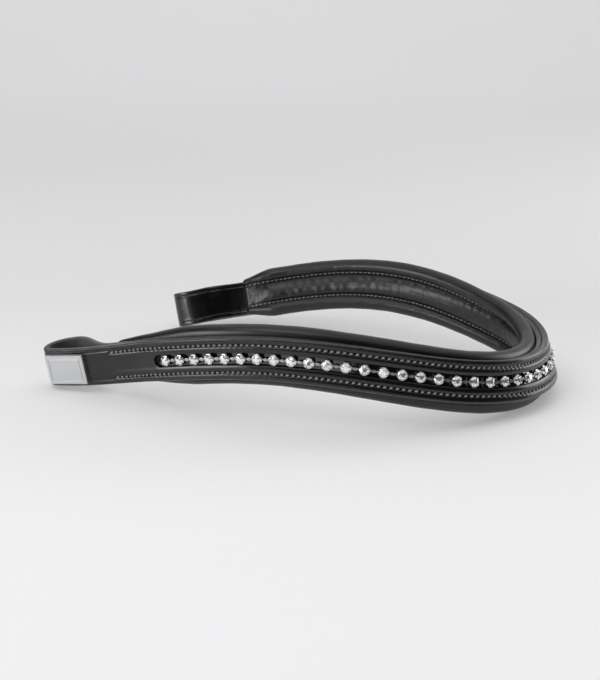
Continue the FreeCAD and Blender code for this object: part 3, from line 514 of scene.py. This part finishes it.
def build_strap(step):
    """The face strap with both loops and the slot for the chain."""
    path, lengths = strap_path(step)
    centre, _, outwards, upwards = frames_at(path[:, 0])
    middle = centre + outwards * path[:, 1:]
    run = np.gradient(middle, lengths, axis=0)
    run -= upwards * np.einsum("ij,ij->i", run, upwards)[:, None]
    run /= np.linalg.norm(run, axis=1)[:, None]
    across = np.cross(run, upwards)
    along = path[:, 0]
    on_face = (np.abs(path[:, 1] - FACE_MIDDLE) < 1e-3).astype(float)
    left = np.where(on_face > 0.5, CHANNEL_HALF + 0.001 - np.abs(along), -1.0)
    inside = left > 0.0
    reach = np.clip(CHANNEL_RADIUS - left, 0.0, CHANNEL_RADIUS)
    slot = np.where(inside, np.sqrt(np.maximum(CHANNEL_RADIUS ** 2 - reach ** 2, 0.0)), 0.0)[:, None]
    floor = np.where(inside, -HALF_THICK + 0.05, HALF_THICK)[:, None]
    corner = 0.5
    turns = np.radians((12.0, 35.0, 60.0, 90.0))
    land = np.linspace(0.0, 1.0, 7)[None]
    land_up = slot + 0.3 + (SEAM_OFFSET - 0.6 - slot - 0.3) * land
    count = (len(along), 1)
    fixed = np.tile((4.7, 4.85, 5.0, 5.15, 5.3, 5.55, 5.75, 5.95, 6.4, 6.9, 7.2), count)
    edge_up = np.tile(HALF_WIDTH - corner + corner * np.sin(turns), count)
    edge_drop = np.tile(corner * (1.0 - np.cos(turns)), count)
    zero = np.zeros(count)
    lip_up = np.hstack([slot, slot + 0.02, slot + 0.10])
    lip_drop = np.tile((0.30, 0.14, 0.03), count)
    face_up = np.hstack([lip_up, land_up, fixed, edge_up])
    drop = np.hstack([lip_drop * inside[:, None], 0 * land_up, 0 * fixed, edge_drop])
    up_side = np.hstack([zero, slot, face_up])
    levels = []
    for side in (1.0, -1.0):
        relief = strap_relief(along[:, None], side * face_up, on_face[:, None])
        relief *= np.clip(1.0 - drop / corner, 0.0, 1.0)
        levels.append(np.hstack([floor, floor, HALF_THICK + relief - drop]))
    back_up = np.hstack([edge_up[:, ::-1], np.tile((7.0, 5.0, 2.5), count)])
    back_level = np.hstack([-HALF_THICK + edge_drop[:, ::-1], np.full((len(along), 3), -HALF_THICK)])
    back_level += 0.03 * ripple(along[:, None] + 1.3 * back_up, 9, (2.3, 5.1, 1.4))
    up = np.hstack([up_side, back_up, zero, -back_up[:, ::-1], -up_side[:, :0:-1]])
    level = np.hstack([levels[0], back_level, zero - HALF_THICK, back_level[:, ::-1], levels[1][:, :0:-1]])
    rings = middle[:, None] + across[:, None] * level[..., None] + upwards[:, None] * up[..., None]
    wear = np.clip((np.abs(up[len(along) // 2]) - (HALF_WIDTH - 0.9)) / 0.6, 0.0, 1.0)
    flesh = (level[len(along) // 8] < 0.2 - HALF_THICK).astype(float)
    return sweep("face_strap_leather", rings, lengths, wear=wear, flesh=flesh)


def build_backing():
    reach = HALF_LENGTH - LOOP_LENGTH - TAIL_LENGTH - TAIL_GAP
    alongs = np.linspace(-reach, reach, 420)
    corner = 0.45
    turns = np.radians((0.0, 30.0, 60.0, 90.0))
    quarter_up = HALF_WIDTH - corner + corner * np.sin(turns)
    quarter_drop = corner * (1.0 - np.cos(turns))
    up = np.concatenate([quarter_up, quarter_up[::-1], -quarter_up, -quarter_up[::-1]])
    high_drop = BACKING_TOP - quarter_drop
    out = np.concatenate([high_drop, quarter_drop[::-1], quarter_drop, high_drop[::-1]])
    up, out = np.tile(up, (len(alongs), 1)), np.tile(out, (len(alongs), 1))
    out += 0.02 * ripple(alongs[:, None] + 2.0 * up, 21, (2.9, 7.7))
    wear = np.clip((np.abs(up[0]) - (HALF_WIDTH - 0.9)) / 0.6, 0.0, 1.0)
    return sweep("backing_strap_leather", band_points(alongs, out, up), alongs, wear=wear, flesh=0.0 * wear)


# ---------- the padding

def growth(along):
    taper = np.where(along < 0.0, NEAR_TAPER, FAR_TAPER)
    return smooth((LINING_HALF - np.abs(along)) / taper)


def roll_at(along):
    share = growth(along)
    radius = TAPER_RADIUS + (ROLL_RADIUS - TAPER_RADIUS) * share
    offset = TAPER_OFFSET + (ROLL_OFFSET - TAPER_OFFSET) * share
    return offset, -(ROLL_DEPTH - ROLL_RADIUS + radius), radius


def seam_at(along):
    offset, depth, radius = roll_at(along)
    reach = np.minimum(offset - SEAM_OFFSET, 0.95 * radius)
    return depth - np.sqrt(radius ** 2 - reach ** 2), offset - reach


def pad_crest(along):
    return -PAD_DEPTH * (PAD_THIN + (1.0 - PAD_THIN) * growth(along))


def pad_surface(along, share):
    """Depth of the centre pad between its seams, where share runs from -1 to 1 across it."""
    seam_out = seam_at(along)[0]
    crown = (1.0 - np.abs(share) ** PAD_SQUARENESS) ** PAD_FULLNESS
    return seam_out + (pad_crest(along) - seam_out) * crown


def lining_closing(along):
    """How far the lining stands off the strap near its ends: it runs out thin at the near end."""
    run = np.where(along < 0.0, 11.0, 2.6)
    left = np.clip((LINING_HALF - np.abs(along)) / run, 0.0, 1.0)
    return 0.28 + 0.72 * np.sqrt(np.maximum(1.0 - (1.0 - left) ** 2, 0.0))


def lining_relief(along, place, seed):
    """Puckers that the seams draw in the soft leather. place is the distance from the seam."""
    beat = 0.5 + 0.5 * np.cos(2.0 * math.pi * (along + SEAM_HALF) / STITCH_PITCH)
    gathers = ripple(along + 0.55 * place, seed, (4.6, 6.7, 3.4), 1.6)
    slow = ripple(along, seed + 40, (23.0, 11.0, 37.0))
    near = np.exp(-(place / 0.75) ** 2)
    reach = np.exp(-(place / 2.6) ** 2)
    drawn = np.exp(-(place / 1.5) ** 2) * (1.0 - near)
    folds = reach * (1.0 - 0.5 * near) * gathers
    return -0.34 * near - 0.16 * beat * near - 0.14 * beat * drawn + 0.17 * folds + 0.07 * slow


def build_lining(step):
    """The soft lining: two rolls and a centre pad, drawn in along both seams."""
    alongs = np.arange(-LINING_HALF, LINING_HALF + 0.01, step)
    alongs[-1] = LINING_HALF
    a = alongs[:, None]
    offset, depth, radius = roll_at(a)
    seam_out, seam_up = seam_at(a)
    front = depth + radius
    closing = lining_closing(a)
    end_angle = math.pi + np.arcsin(np.clip((offset - seam_up) / radius, 0.0, 1.0))
    share = np.linspace(0.0, 1.0, 24)[None]
    sides_out, sides_up = [], []
    for side, seed in ((1.0, 11), (-1.0, 12)):
        angle = end_angle * share
        to_seam = (end_angle - angle) * radius
        relief = lining_relief(a, to_seam, seed)
        swell = radius + relief * smooth(share * 2.4)
        out = depth + swell * np.cos(angle)
        up = offset + swell * np.sin(angle)
        out = np.minimum(out, front)
        sides_out.append(np.hstack([front, out]))
        sides_up.append(side * np.hstack([seam_up + 0.3, up]))
    share = np.linspace(-1.0, 1.0, 33)[None, 1:-1]
    place = (1.0 - np.abs(share)) * seam_up
    relief = np.where(share > 0, lining_relief(a, place, 11), lining_relief(a, place, 12))
    relief += 0.10 * ripple(a + 0.3 * share, 31, (5.2, 8.3, 3.7), 1.8) * (1.0 - np.abs(share) ** 3)
    pad_out = pad_surface(a, share) - relief
    pad_up = -share * seam_up
    skin, inner = LINING_SKIN, radius - LINING_SKIN
    turns = np.linspace(0.0, 1.0, 9)[None]
    angle = turns * (math.pi + math.asin(0.75))
    back_out = np.minimum(depth + inner * np.cos(angle), front - skin)
    back_up = offset + inner * np.sin(angle)
    pad_start = seam_up - 0.45
    inner_share = np.linspace(1.0, -1.0, 11)[None]
    inner_out = seam_out + skin + (pad_crest(a) - seam_out) * (1.0 - inner_share ** 2)
    outer_out = np.hstack([sides_out[0], pad_out, sides_out[1][:, ::-1]])
    outer_up = np.hstack([sides_up[0], pad_up, sides_up[1][:, ::-1]])
    back = (front - skin, back_out, inner_out, back_out[:, ::-1], front - skin)
    rise = (seam_up + 0.3, back_up, inner_share * pad_start, -back_up[:, ::-1], -seam_up - 0.3)
    inside_out, inside_up = np.hstack(back)[:, ::-1], np.hstack(rise)[:, ::-1]
    out = np.hstack([outer_out, inside_out])
    up = np.hstack([outer_up, inside_up])
    out = front + (out - front) * closing
    up = up * (0.86 + 0.14 * closing)
    return sweep("lining_leather_cover", band_points(alongs, out, up), alongs)


def copy_of_node(node, name):
    """A closed copy of a CAD node's mesh."""
    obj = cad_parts[node].copy()
    obj.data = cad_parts[node].data.copy()
    for key in list(obj.keys()):
        del obj[key]
    obj.name = name
    obj.data.name = name
    obj.parent = None
    bpy.context.scene.collection.objects.link(obj)
    weld(obj.data, 1e-6)
    return obj


# ---------- repeated shapes

def shape_object(name, vertices, faces):
    """A shape to repeat, in metres, on its own and not in the scene."""
    mesh = bpy.data.meshes.new(name)
    mesh.from_pydata([tuple(v) for v in vertices], [], faces)
    weld(mesh, 1e-7, recalculate=True)
    return bpy.data.objects.new(name, mesh)


def lathe(profile, sides):
    """Points and faces of a turned shape from (radius, level) pairs. Both ends lie on the axis."""
    vertices, faces = [(0.0, 0.0, profile[0][1])], []
    for radius, level in profile[1:-1]:
        for number in range(sides):
            turn = 2.0 * math.pi * number / sides
            vertices.append((radius * math.cos(turn), radius * math.sin(turn), level))
    vertices.append((0.0, 0.0, profile[-1][1]))
    last, rows = len(vertices) - 1, len(profile) - 2
    for number in range(sides):
        following = (number + 1) % sides
        faces.append((0, 1 + following, 1 + number))
        for row in range(rows - 1):
            low, high = 1 + row * sides, 1 + (row + 1) * sides
            faces.append((low + number, low + following, high + following, high + number))
        top = 1 + (rows - 1) * sides
        faces.append((top + number, top + following, last))
    return vertices, faces


def tube_faces(start, rows, sides):
    """The side faces and both ends of a tube whose points start at a given number."""
    faces = []
    for row in range(rows - 1):
        for number in range(sides):
            low, high = start + row * sides, start + (row + 1) * sides
            following = (number + 1) % sides
            faces.append((low + number, low + following, high + following, high + number))
    faces.append(tuple(start + number for number in range(sides))[::-1])
    faces.append(tuple(start + (rows - 1) * sides + number for number in range(sides)))
    return faces


def stitch_shape(length, width):
    """One stitch: a short cord that dips into the leather at both ends."""
    rows, sides = 7, 6
    vertices = []
    for row in range(rows):
        share = row / (rows - 1) * 2.0 - 1.0
        girth = 0.5 * width * math.sqrt(max(1.0 - abs(share) ** 3.0, 0.03))
        dip = -0.55 * width * abs(share) ** 2.5
        for number in range(sides):
            turn = 2.0 * math.pi * number / sides + 0.5 * share
            across, rise = girth * math.cos(turn), 0.75 * girth * math.sin(turn)
            vertices.append((0.5 * length * share, across, rise + dip))
    return shape_object("stitch", np.array(vertices) * MM, tube_faces(0, rows, sides))


def crystal_shape():
    """A brilliant cut: table, crown facets, girdle and pavilion."""
    radius = CUP_RADIUS - CUP_WALL - 0.06
    rim, crown = CUP_DEPTH + 0.14, 0.75
    rings = ((0.48, crown, 8, 0.0), (0.80, 0.64 * crown, 8, 0.5), (1.0, 0.14, 16, 0.0), (1.0, 0.0, 16, 0.0),
             (0.60, -0.52, 8, 0.5), (0.12, -1.22, 8, 0.0))
    work = bmesh.new()
    for share, level, count, turn in rings:
        for number in range(count):
            angle = 2.0 * math.pi * (number + turn) / count
            spot = (share * radius * math.cos(angle), share * radius * math.sin(angle), rim + level)
            work.verts.new(Vector(spot) * MM)
    bmesh.ops.convex_hull(work, input=work.verts)
    bmesh.ops.dissolve_limit(work, angle_limit=0.01, verts=work.verts, edges=work.edges)
    mesh = bpy.data.meshes.new("crystal")
    work.to_mesh(mesh)
    work.free()
    return bpy.data.objects.new("crystal", mesh)


def cup_shape():
    """A turned cup with four claws bent in over the crystal."""
    radius, wall, depth = CUP_RADIUS, CUP_WALL, CUP_DEPTH
    profile = ((0.0, 0.0), (0.6 * radius, 0.0), (0.93 * radius, 0.36 * depth), (radius, 0.5 * depth),
               (radius, depth - 0.05), (radius - 0.06, depth), (radius - wall, depth), (0.45, wall),
               (0.0, wall))
    vertices, faces = lathe(profile, 20)
    line = ((radius - 0.11, depth - 0.6), (radius - 0.10, depth + 0.12), (radius - 0.22, depth + 0.50),
            (radius - 0.52, depth + 0.80), (radius - 0.86, depth + 0.93))
    widths, thicks = (0.36, 0.36, 0.36, 0.33, 0.20), (0.13, 0.15, 0.16, 0.16, 0.10)
    claw_outline = ((-1, -0.5), (1, -0.5), (1, 0.5), (0.5, 1.0), (-0.5, 1.0), (-1, 0.5))
    for claw in range(4):
        turn = math.pi * (0.25 + 0.5 * claw)
        east = np.array((math.cos(turn), math.sin(turn), 0.0))
        north = np.array((-math.sin(turn), math.cos(turn), 0.0))
        start = len(vertices)
        for (out, level), width, thick in zip(line, widths, thicks):
            for side, rise in claw_outline:
                spot = east * (out + 0.75 * thick * rise) + north * width * side
                vertices.append((spot[0], spot[1], level + 0.65 * thick * rise))
        faces += tube_faces(start, len(line), len(claw_outline))
    return shape_object("cup", np.array(vertices) * MM, faces)


def link_shape():
    """A link between two cups: a flat bar with a raised square in its middle."""
    work = bmesh.new()
    room = CHAIN_PITCH - 2.0 * CUP_RADIUS + 0.1
    for length, width, tall in ((room, 0.62, 0.26), (1.15, 1.05, 0.52)):
        made = bmesh.ops.create_cube(work, size=1.0)["verts"]
        bmesh.ops.scale(work, vec=Vector((length, width, tall)) * MM, verts=made)
        bmesh.ops.translate(work, vec=Vector((0.0, 0.0, 0.5 * tall)) * MM, verts=made)
    bmesh.ops.bevel(work, geom=work.edges, offset=0.10 * MM, segments=2, affect="EDGES", profile=0.6)
    mesh = bpy.data.meshes.new("link")
    work.to_mesh(mesh)
    work.free()
    return bpy.data.objects.new("link", mesh)


def copies_tree():
    """Puts a shape on every point, turned as the point's attribute says, with a little unevenness."""
    if "placed_copies" in bpy.data.node_groups:
        return bpy.data.node_groups["placed_copies"]
    tree = bpy.data.node_groups.new("placed_copies", "GeometryNodeTree")
    face = tree.interface
    face.new_socket("Geometry", in_out="INPUT", socket_type="NodeSocketGeometry")
    face.new_socket("Shape", in_out="INPUT", socket_type="NodeSocketObject")
    face.new_socket("Finish", in_out="INPUT", socket_type="NodeSocketMaterial")
    for name in ("Size", "Uneven size", "Uneven turn"):
        face.new_socket(name, in_out="INPUT", socket_type="NodeSocketFloat")
    face.new_socket("Seed", in_out="INPUT", socket_type="NodeSocketInt")
    face.new_socket("Geometry", in_out="OUTPUT", socket_type="NodeSocketGeometry")
    node, join = tree.nodes.new, tree.links.new
    given, made = node("NodeGroupInput").outputs, node("NodeGroupOutput").inputs
    shape = node("GeometryNodeObjectInfo")
    join(given["Shape"], shape.inputs["Object"])
    kind = "GeometryNodeInputNamedAttribute"
    turn = add_node(tree, kind, {"Name": "turn"}, data_type="FLOAT_VECTOR")
    stretch = add_node(tree, kind, {"Name": "stretch"}, data_type="FLOAT")
    base = node("FunctionNodeEulerToRotation")
    join(turn.outputs["Attribute"], base.inputs["Euler"])
    spread = add_node(tree, "FunctionNodeRandomValue", data_type="FLOAT_VECTOR")
    join(maths(tree, "MULTIPLY", given["Uneven turn"], -1.0), spread.inputs[0])
    join(given["Uneven turn"], spread.inputs[1])
    join(given["Seed"], spread.inputs["Seed"])
    jitter = node("FunctionNodeEulerToRotation")
    join(spread.outputs[0], jitter.inputs["Euler"])
    turned = add_node(tree, "FunctionNodeRotateRotation", rotation_space="LOCAL")
    join(base.outputs[0], turned.inputs[0])
    join(jitter.outputs[0], turned.inputs[1])
    vary = add_node(tree, "FunctionNodeRandomValue", {3: 1.0}, data_type="FLOAT")
    join(maths(tree, "SUBTRACT", 1.0, given["Uneven size"]), vary.inputs[2])
    join(given["Seed"], vary.inputs["Seed"])
    scale = maths(tree, "MULTIPLY", given["Size"], vary.outputs[1])
    longer = maths(tree, "MULTIPLY", scale, stretch.outputs["Attribute"])
    sizes = node("ShaderNodeCombineXYZ")
    join(longer, sizes.inputs[0])
    join(scale, sizes.inputs[1])
    join(scale, sizes.inputs[2])
    put = node("GeometryNodeInstanceOnPoints")
    join(given["Geometry"], put.inputs["Points"])
    join(shape.outputs["Geometry"], put.inputs["Instance"])
    join(turned.outputs[0], put.inputs["Rotation"])
    join(sizes.outputs[0], put.inputs["Scale"])
    real = node("GeometryNodeRealizeInstances")
    join(put.outputs[0], real.inputs[0])
    painted = node("GeometryNodeSetMaterial")
    join(real.outputs[0], painted.inputs["Geometry"])
    join(given["Finish"], painted.inputs["Material"])
    join(painted.outputs[0], made["Geometry"])
    return tree


def placed_copies(name, shape, spots, material, uneven_size, uneven_turn, seed, smooth_shade=True):
    """One plain mesh with a copy of the shape at each spot: (place, three directions, stretch)."""
    points = bpy.data.meshes.new(name + "_spots")
    points.from_pydata([tuple(in_frame(spot[0])) for spot in spots], [], [])
    points.attributes.new("turn", "FLOAT_VECTOR", "POINT")
    points.attributes.new("stretch", "FLOAT", "POINT")
    turns, longer = points.attributes["turn"], points.attributes["stretch"]
    for number, (spot, axes, stretch) in enumerate(spots):
        matrix = Matrix([list(axis) for axis in axes]).transposed()
        turns.data[number].vector = matrix.to_euler()
        longer.data[number].value = stretch
    holder = put_in_scene(name + "_spots", points)
    step = holder.modifiers.new("copies", "NODES")
    step.node_group = copies_tree()
    wanted = {"Shape": shape, "Finish": material, "Size": 1.0, "Uneven size": uneven_size,
              "Uneven turn": uneven_turn, "Seed": seed}
    for item in step.node_group.interface.items_tree:
        if item.in_out == "INPUT" and item.name in wanted:
            step[item.identifier] = wanted[item.name]
    bpy.context.view_layer.update()
    seen = holder.evaluated_get(bpy.context.evaluated_depsgraph_get())
    mesh = bpy.data.meshes.new_from_object(seen)
    mesh.name = name
    holder.modifiers.clear()
    bpy.data.objects.remove(holder)
    if not mesh.polygons:
        raise RuntimeError("no copies were made for " + name)
    mesh.polygons.foreach_set("use_smooth", [smooth_shade] * len(mesh.polygons))
    return put_in_scene(name, mesh)


def spot_at(along, out, up, slant=0.0, stretch=1.0):
    """A place on the band with local X along it, Z outwards, turned about Z by slant."""
    centre, forward, outwards, upwards = frame_at(along)
    spot = centre + outwards * out + upwards * up
    across = np.cross(outwards, forward)
    east = forward * math.cos(slant) + across * math.sin(slant)
    return spot, (east, np.cross(outwards, east), outwards), stretch


def row_spots(side):
    """The face stitches of one seam."""
    count = int(2.0 * SEAM_HALF / STITCH_PITCH)
    slant = math.radians(STITCH_SLANT)
    return [
        spot_at(-SEAM_HALF + (number + 0.5) * STITCH_PITCH, FACE_TOP - 0.03, side * SEAM_OFFSET, slant)
        for number in range(count)
    ]


def bobbin_spots(side):
    """The stitches of one seam on the lining, in the groove beside a roll."""
    spots = []
    count = int(2.0 * (LINING_HALF - 2.5) / STITCH_PITCH)
    for number in range(count):
        along = -LINING_HALF + 2.5 + (number + 0.5) * STITCH_PITCH
        out, up = (float(v) for v in seam_at(np.array(along)))
        spot, axes, stretch = spot_at(along, out - 0.02, side * up, math.radians(BOBBIN_SLANT))
        spots.append((spot, (axes[0], -axes[1], -axes[2]), stretch))
    return spots


def end_spots(way):
    """The zigzag that closes one end of the lining."""
    near, far = way * (LINING_HALF - END_STITCH_NEAR), way * (LINING_HALF - END_STITCH_FAR)
    corners = [(near, END_STITCH_RISE), (far, 0.0), (near, -END_STITCH_RISE)]
    spots = []
    for (a, up_a), (b, up_b) in zip(corners, corners[1:]):
        for number in range(3):
            share = (number + 0.5) / 3.0
            along, up = a + (b - a) * share, up_a + (up_b - up_a) * share
            out = float(lining_front(along, up)) - 0.05
            slant = math.atan2(up_b - up_a, b - a)
            spot, axes, stretch = spot_at(along, out, up, slant, 0.95)
            spots.append((spot, (axes[0], -axes[1], -axes[2]), stretch))
    return spots


def lining_front(along, up):
    """Depth of the centre pad's surface."""
    a = np.array(along)
    share = min(abs(up) / float(seam_at(a)[1]), 1.0)
    front = -(ROLL_DEPTH - ROLL_RADIUS)
    return front + (pad_surface(a, share) - front) * float(lining_closing(a))


# ---------- the add-on

class BrowbandLeather(bpy.types.PropertyGroup):
    strap_step: bpy.props.FloatProperty(
        name="Strap step", description="Distance between two rings of the strap's mesh, in millimetres",
        default=0.5, min=0.3, max=2.0)
    lining_step: bpy.props.FloatProperty(
        name="Lining step", description="Distance between two rings of the lining's mesh, in millimetres",
        default=0.6, min=0.3, max=2.0)
    fill: bpy.props.FloatProperty(
        name="Fill", description="How firmly the padding is filled", default=0.6, min=0.0, max=1.0,
        subtype="FACTOR")


class BrowbandChain(bpy.types.PropertyGroup):
    thread_width: bpy.props.FloatProperty(
        name="Thread width", description="Width of a stitch", default=0.72 * MM, min=0.2 * MM, max=1.5 * MM,
        unit="LENGTH")
    stitch_length: bpy.props.FloatProperty(
        name="Stitch length", description="Length of a stitch", default=1.55 * MM, min=1.0 * MM, max=2.1 * MM,
        unit="LENGTH")
    unevenness: bpy.props.FloatProperty(
        name="Unevenness", description="How unevenly the stitches are drawn tight", default=0.10, min=0.0,
        max=0.3, subtype="FACTOR")


class BrowbandStudio(bpy.types.PropertyGroup):
    floor_colour: bpy.props.FloatVectorProperty(
        name="Floor colour", description="Colour of the floor and backdrop", default=(0.80, 0.80, 0.81),
        subtype="COLOR", min=0.0, max=1.0)
    floor_size: bpy.props.FloatProperty(
        name="Floor size", description="Side of the floor", default=8.0, min=1.0, unit="LENGTH")


class BROWBAND_OT_straps(bpy.types.Operator):
    """Build the face strap with its loops, the backing strap and the glossy strip in the slot"""
    bl_idname = "browband.straps"
    bl_label = "Straps"

    def execute(self, context):
        strap = build_strap(context.scene.browband_leather.strap_step)
        finish_piece(strap, finish("strap"), "strap_leather", "face_strap")
        finish_piece(build_backing(), finish("strap"), "strap_leather", "backing_strap")
        finish_cad("channel_bed", finish("patent"))
        return {"FINISHED"}


class BROWBAND_OT_padding(bpy.types.Operator):
    """Build the soft lining and the foam inside it"""
    bl_idname = "browband.padding"
    bl_label = "Padding"

    def execute(self, context):
        leather_sizes = context.scene.browband_leather
        cover = build_lining(leather_sizes.lining_step)
        finish_piece(cover, finish("lining"), "lining_leather", "lining")
        for node in ("centre_foam", "top_roll_core", "bottom_roll_core"):
            core = copy_of_node(node, node + "_pad")
            finish_piece(core, finish("foam"), "foam", node)
        return {"FINISHED"}


class BROWBAND_OT_seams(bpy.types.Operator):
    """Sew both seams on the face and on the lining, and the ends of the lining"""
    bl_idname = "browband.seams"
    bl_label = "Seams"

    def execute(self, context):
        chain = context.scene.browband_chain
        width, length = chain.thread_width / MM, chain.stitch_length / MM
        stitch = stitch_shape(length, width)
        rows = (
            ("upper_row_stitches", "upper_row_thread", row_spots(1.0)),
            ("lower_row_stitches", "lower_row_thread", row_spots(-1.0)),
            ("upper_row_bobbin_stitches", "upper_row_bobbin_thread", bobbin_spots(1.0)),
            ("lower_row_bobbin_stitches", "lower_row_bobbin_thread", bobbin_spots(-1.0)),
            ("near_lining_end_zigzag", "near_lining_end_stitches", end_spots(-1.0)),
            ("far_lining_end_zigzag", "far_lining_end_stitches", end_spots(1.0)),
        )
        for seed, (name, node, spots) in enumerate(rows):
            row = placed_copies(name, stitch, spots, finish("thread"), chain.unevenness, 0.07, seed)
            finish_piece(row, finish("thread"), "thread", node)
        finish_cad("chain_end_ties", finish("thread"))
        return {"FINISHED"}


class BROWBAND_OT_chain(bpy.types.Operator):
    """Set the crystals in their cups and link the cups"""
    bl_idname = "browband.chain"
    bl_label = "Crystal chain"

    def execute(self, context):
        stations = [-CHAIN_HALF + CHAIN_PITCH * number for number in range(CHAIN_COUNT)]
        cups = [spot_at(along, CUP_BASE, 0.0) for along in stations]
        link_level = CUP_BASE + 0.6 * CUP_DEPTH
        gaps = [spot_at(along + 0.5 * CHAIN_PITCH, link_level, 0.0) for along in stations[:-1]]
        groups = (
            ("cups", cup_shape(), cups, "cup", "cup_metal", "crystal_cups", 0.03),
            ("cut_crystals", crystal_shape(), cups, "crystal", "crystal", "crystals", 0.09),
            ("links", link_shape(), gaps, "link", "cup_metal", "chain_links", 0.02),
        )
        for name, shape, spots, look, slot, node, turn in groups:
            made = placed_copies(name, shape, spots, finish(look), 0.0, turn, 0, name == "cups")
            finish_piece(made, finish(look), slot, node)
        return {"FINISHED"}


class BROWBAND_OT_badge(bpy.types.Operator):
    """Finish the badge on the near loop and the washers behind it"""
    bl_idname = "browband.badge"
    bl_label = "Badge"

    def execute(self, context):
        finish_cad("badge_plate", finish("badge"))
        finish_cad("badge_washers", finish("badge"))
        return {"FINISHED"}


class BROWBAND_OT_stage(bpy.types.Operator):
    """Set up the pale floor, the soft studio light and the camera"""
    bl_idname = "browband.stage"
    bl_label = "Studio"

    def execute(self, context):
        studio = context.scene.browband_studio
        half = 0.5 * studio.floor_size
        turns = np.linspace(0.0, 0.5 * math.pi, 25)
        line = [(-half, 0.0), (FLOOR_FLAT, 0.0)]
        for turn in turns[1:]:
            line.append((FLOOR_FLAT + FLOOR_BEND * math.sin(turn), FLOOR_BEND * (1.0 - math.cos(turn))))
        line.append((FLOOR_FLAT + FLOOR_BEND, half))
        vertices = [(x, y, z) for y, z in line for x in (-half, half)]
        faces = [(2 * row, 2 * row + 1, 2 * row + 3, 2 * row + 2) for row in range(len(line) - 1)]
        mesh = bpy.data.meshes.new("floor")
        mesh.from_pydata(vertices, [], faces)
        mesh.polygons.foreach_set("use_smooth", [True] * len(faces))
        floor = put_in_scene("floor", mesh)
        material, tree, shader = new_material(
            "pale_floor", Base_Color=(*studio.floor_colour, 1.0), Roughness=0.9, Specular_IOR_Level=0.1,
            Emission_Color=(*studio.floor_colour, 1.0))
        place = object_place(tree)
        depth = add_node(tree, "ShaderNodeSeparateXYZ")
        tree.links.new(place, depth.inputs[0])
        near = mapped(tree, depth.outputs[1], 0.36, 0.19, -0.15, 0.12)
        rear = mapped(tree, depth.outputs[1], 0.0, 0.30, 0.6, 2.3)
        feed(tree, shader, Emission_Strength=maths(tree, "ADD", near, rear))
        mesh.materials.append(material)
        world = bpy.data.worlds.new("studio")
        world.use_nodes = True
        world.node_tree.nodes["Background"].inputs[0].default_value = (*studio.floor_colour, 1.0)
        world.node_tree.nodes["Background"].inputs[1].default_value = 0.03
        context.scene.world = world
        context.scene.view_settings.view_transform = "Standard"
        lights = (
            ("overhead", (0.0, 0.05, 1.7), (0.0, 0.05, 0.0), 3.2, 24.0),
            ("left_high", (-0.8, -0.8, 1.2), (0.0, 0.05, 0.01), 0.8, 3.9),
            ("left_low", (-1.0, -0.5, 0.15), (-0.05, 0.0, 0.01), 0.5, 5.6),
            ("right_side", (0.9, 0.35, 0.28), (0.05, 0.0, 0.01), 0.5, 2.4),
        )
        for name, spot, aim, side, power in lights:
            data = bpy.data.lights.new(name, "AREA")
            data.size, data.energy = side, power
            lamp = put_in_scene(name, data)
            lamp.location = spot
            lamp.rotation_euler = (Vector(aim) - Vector(spot)).to_track_quat("-Z", "Y").to_euler()
        data = bpy.data.cameras.new("camera")
        data.lens, data.sensor_width = CAMERA_LENS, CAMERA_SENSOR
        data.clip_start, data.clip_end = 0.01, 50.0
        camera = put_in_scene("camera", data)
        camera.location = CAMERA_PLACE
        camera.rotation_euler = (math.radians(90.0 - CAMERA_TILT), 0.0, 0.0)
        context.scene.camera = camera
        return {"FINISHED"}


class BROWBAND_PT_panel(bpy.types.Panel):
    """Lists the steps that build the browband"""
    bl_idname = "BROWBAND_PT_panel"
    bl_label = "Browband"
    bl_space_type = "VIEW_3D"
    bl_region_type = "UI"
    bl_category = "Browband"

    def draw(self, context):
        column = self.layout.column()
        scene = context.scene
        for group in (scene.browband_leather, scene.browband_chain, scene.browband_studio):
            for name in group.__annotations__:
                column.prop(group, name)
        for step in STEPS:
            column.operator(step.bl_idname)


STEPS = (BROWBAND_OT_straps, BROWBAND_OT_padding, BROWBAND_OT_seams, BROWBAND_OT_chain, BROWBAND_OT_badge,
         BROWBAND_OT_stage)
GROUPS = (BrowbandLeather, BrowbandChain, BrowbandStudio)


def register():
    for group in GROUPS + STEPS + (BROWBAND_PT_panel,):
        bpy.utils.register_class(group)
    bpy.types.Scene.browband_leather = bpy.props.PointerProperty(type=BrowbandLeather)
    bpy.types.Scene.browband_chain = bpy.props.PointerProperty(type=BrowbandChain)
    bpy.types.Scene.browband_studio = bpy.props.PointerProperty(type=BrowbandStudio)


def unregister():
    del bpy.types.Scene.browband_studio
    del bpy.types.Scene.browband_chain
    del bpy.types.Scene.browband_leather
    for group in reversed(GROUPS + STEPS + (BROWBAND_PT_panel,)):
        bpy.utils.unregister_class(group)


def main():
    register()
    bpy.ops.browband.straps()
    bpy.ops.browband.padding()
    bpy.ops.browband.seams()
    bpy.ops.browband.chain()
    bpy.ops.browband.badge()
    bpy.ops.browband.stage()


if __name__ == "__main__":
    main()
